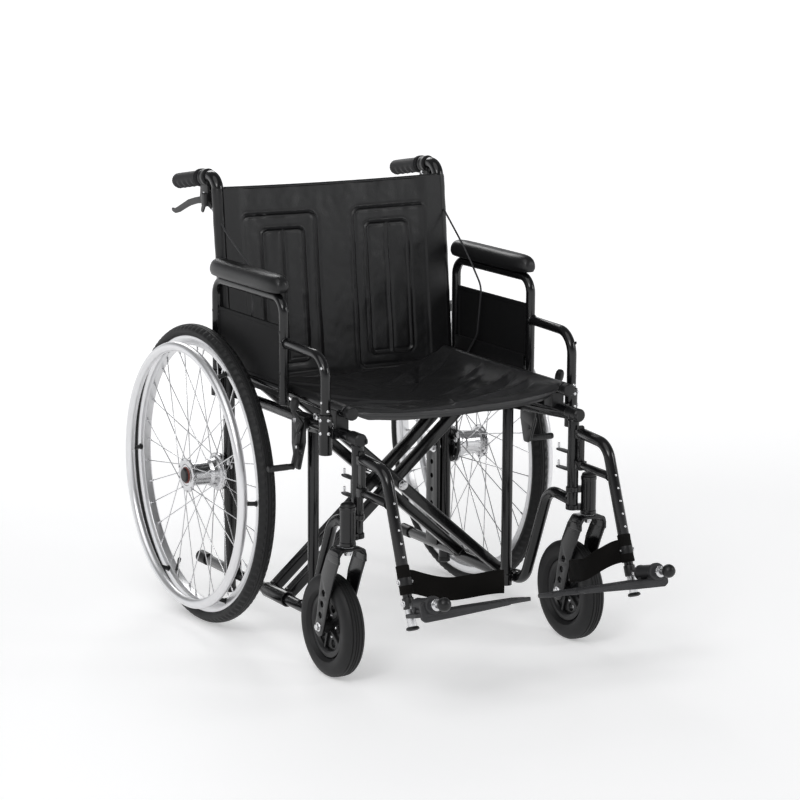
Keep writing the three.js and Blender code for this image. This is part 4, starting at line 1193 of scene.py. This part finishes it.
def back_rear(u, v):
    """The plainer back face, which thins out where it lies on the canes."""
    front = back_point(u, v)
    z = back_height(front.x, v)
    soft = 1.2 * noise.noise(Vector((front.x / 60, z / 60, 9)))
    slack = 1 - rise_between(abs(front.x), 195, 221)
    return Vector((front.x, cane_y(z) - 12.4 + back_bow(front.x) + slack * (7 + soft), front.z))


def through(points, way):
    """Stations along a row of points, ending in a given direction."""
    return [(a, (b - a).normalized()) for a, b in zip(points, points[1:])] + [(points[-1], way.copy())]


def back_sling(s):
    across, along = 244, 196
    points = [face(i / across, j / along) for face in (back_point, back_rear)
              for i in range(across + 1) for j in range(along + 1)]
    two_faced(s, points, across, along, VINYL)
    hem = [Vector((x, cane_y(BACK_TOP) - 10.5 + back_bow(x), BACK_TOP - back_dip(x)))
           for x in range(-248, 249, 8)]
    sweep(s, through(hem, X), disc(3.6, 20), VINYL)


def back_sleeve(s):
    """The part of the back cloth that is sewn round one cane, with its piping and screws."""
    rings = []
    steps = 80
    for k in range(steps + 1):
        z = BACK_LOW + 2 + (BACK_TOP - 2 - BACK_LOW) * k / steps
        centre = Vector((cane_x(z), cane_y(z), z))
        radius = 13.4 + 0.35 * sin(z / 9) * sin(z / 31) + (0 if 0 < k < steps else -0.8)
        rings.append([centre + X * a + Y * b for a, b in disc(radius, 36)])
    skin(s, rings, VINYL)
    piping = [Vector((CANE_X - 12.2 + (z - 500) / 345, cane_y(z) - 4.8, z))
              for z in range(BACK_LOW + 4, 878, 12)]
    sweep(s, through(piping, Z), disc(1.5, 12), VINYL, edge=0.4)
    for z in (520, 690, 850):
        rivet(s, (cane_x(z) + 2, cane_y(z) + 13.1, z), Y, 3.4, 2)


# ---- the chair ----
HALF = {   # piece: (maker, body)
    "side_frame": (side_frame, "frame"), "back_cane": (back_cane, "frame"), "push_grip": (push_grip, "frame"),
    "brake_lever_mount": (brake_lever_mount, "frame"), "brake_lever": (brake_lever, "hand_brake"),
    "brake_cable": (brake_cable, "frame"), "drum_plate": (drum_plate, "frame"),
    "rear_hub": (rear_hub, "wheel"), "rear_spokes": (rear_spokes, "wheel"),
    "rear_rim": (rear_rim, "wheel"), "rear_tyre": (rear_tyre, "wheel"),
    "handrim": (handrim, "wheel"), "caster_fork": (caster_fork, "fork"), "caster_hub": (caster_hub, "caster"),
    "caster_tyre": (caster_tyre, "caster"), "armrest_frame": (armrest_frame, "armrest"),
    "arm_pad": (arm_pad, "armrest"), "side_panel": (side_panel, "armrest"),
    "arm_lock": (arm_lock, "arm_catch"), "hanger": (hanger, "swing_hanger"),
    "hanger_latch": (hanger_latch, "swing_catch"),
    "foot_tube": (foot_tube, "leg_tube"), "footplate": (footplate, "foot_board"),
    "wheel_lock_bracket": (wheel_lock_bracket, "frame"), "wheel_lock_lever": (wheel_lock_lever, "lock_lever"),
    "wheel_lock_shoe": (wheel_lock_shoe, "lock_shoe")}


def build_half(hand):
    """Every piece of one side."""
    mirror = hand == "right"
    for node, (make, body) in HALF.items():
        name = f"{hand}_{node}"
        made = piece(f"{name}_detail", make, f"{hand}_{body}", [name], mirror)
    loop = piece(f"{hand}_heel_loop_band", heel_loop, None, [f"{hand}_heel_loop"], mirror)
    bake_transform(loop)
    piece(f"{hand}_back_sleeve", back_sleeve, f"{hand}_frame", [], mirror)


def build_middle():
    """The brace, its bolt and the two cloths."""
    piece("brace_a_detail", lambda s: brace_arm(s, 1, BRACE_A_Y), "scissor_a", ["brace_a"])
    piece("brace_b_detail", lambda s: brace_arm(s, -1, BRACE_B_Y), "scissor_b", ["brace_b"])
    piece("pivot_bolt_detail", pivot_bolt, "scissor_a", ["pivot_bolt"])
    seat = piece("seat_cloth", seat_sling, None, ["seat_sling"])
    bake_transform(seat)
    back = piece("back_cloth", back_sling, "right_frame", ["back_sling"])
    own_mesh(back)


# ---- studio ----
def studio():
    """A pale floor, soft light and the camera."""
    work = bmesh.new()
    bmesh.ops.create_circle(work, cap_ends=True, segments=96, radius=60)
    mesh = bpy.data.meshes.new("floor")
    work.to_mesh(mesh)
    work.free()
    floor = add_object("floor", mesh)
    mesh.materials.append(floor_paint())
    world = bpy.data.worlds.new("studio")
    bpy.context.scene.world = world
    world.use_nodes = True
    tree = world.node_tree
    place = add_node(tree, "TexCoord").outputs["Generated"]
    height = add_node(tree, "SeparateXYZ", {"Vector": place}).outputs["Z"]
    wall = ramp(tree, height, (0.08, 0.3), (1.0, 0.2))      # a white wall at the horizon, a dim ceiling
    set_inputs(tree, tree.nodes["Background"], {"Color": (0.97, 0.98, 1, 1), "Strength": wall})
    sun_light("sun", (-30, 18), 0.9, 60)
    softbox("key", (-2.6, -2.2, 3.0), 1.2, 34)
    softbox("fill", (2.8, -2.6, 2.2), 1.0, 24)
    softbox("rim", (0.6, 3.0, 2.4), 1.6, 30)
    camera()


def floor_paint():
    """Near white, and a little brighter with distance."""
    made, tree, shader, place = new_material("floor_white")
    distance = add_node(tree, "VectorMath", {0: place}, operation="LENGTH").outputs["Value"]
    set_inputs(tree, shader, {"Base Color": (0.82, 0.82, 0.825, 1), "Roughness": 0.55,
                              "Specular IOR Level": 0.2,
                              "Emission Color": (1, 1, 1, 1),
                              "Emission Strength": ramp(tree, distance, (1.5, 5), (0.36, 0.72))})
    return made


def sun_light(name, lean, strength, spread):
    light = bpy.data.lights.new(name, "SUN")
    light.energy = strength
    light.angle = radians(spread)
    add_object(name, light).rotation_euler = (radians(lean[1]), radians(lean[0]), 0)


def softbox(name, place, size, power):
    """A square area light aimed at the chair."""
    light = bpy.data.lights.new(name, "AREA")
    light.size = size
    light.energy = power
    made = add_object(name, light)
    made.location = place
    made.rotation_mode = "QUATERNION"
    made.rotation_quaternion = (Vector((0, 0, 0.45)) - made.location).to_track_quat("-Z", "Y")


CAMERA_ROLL = 0.31


def camera():
    """A long lens from the chair's front right, a little above it."""
    lens = bpy.data.cameras.new("camera")
    lens.lens = 127.4
    lens.sensor_width = 36
    lens.clip_end = 200
    made = add_object("camera", lens)
    back = Vector((-0.4885, -0.8499, 0.1975)).normalized()
    side = Z.cross(back).normalized()
    up = back.cross(side)
    roll = Matrix.Rotation(radians(CAMERA_ROLL), 3, back)
    side, up = roll @ side, roll @ up
    turn = Matrix((side, up, back)).transposed().to_4x4()
    turn.translation = at(-2758, -5059, 1588)
    made.matrix_world = turn
    bpy.context.scene.camera = made
    bpy.context.scene.view_settings.view_transform = "Standard"


build_half("left")
build_half("right")
build_middle()
studio()
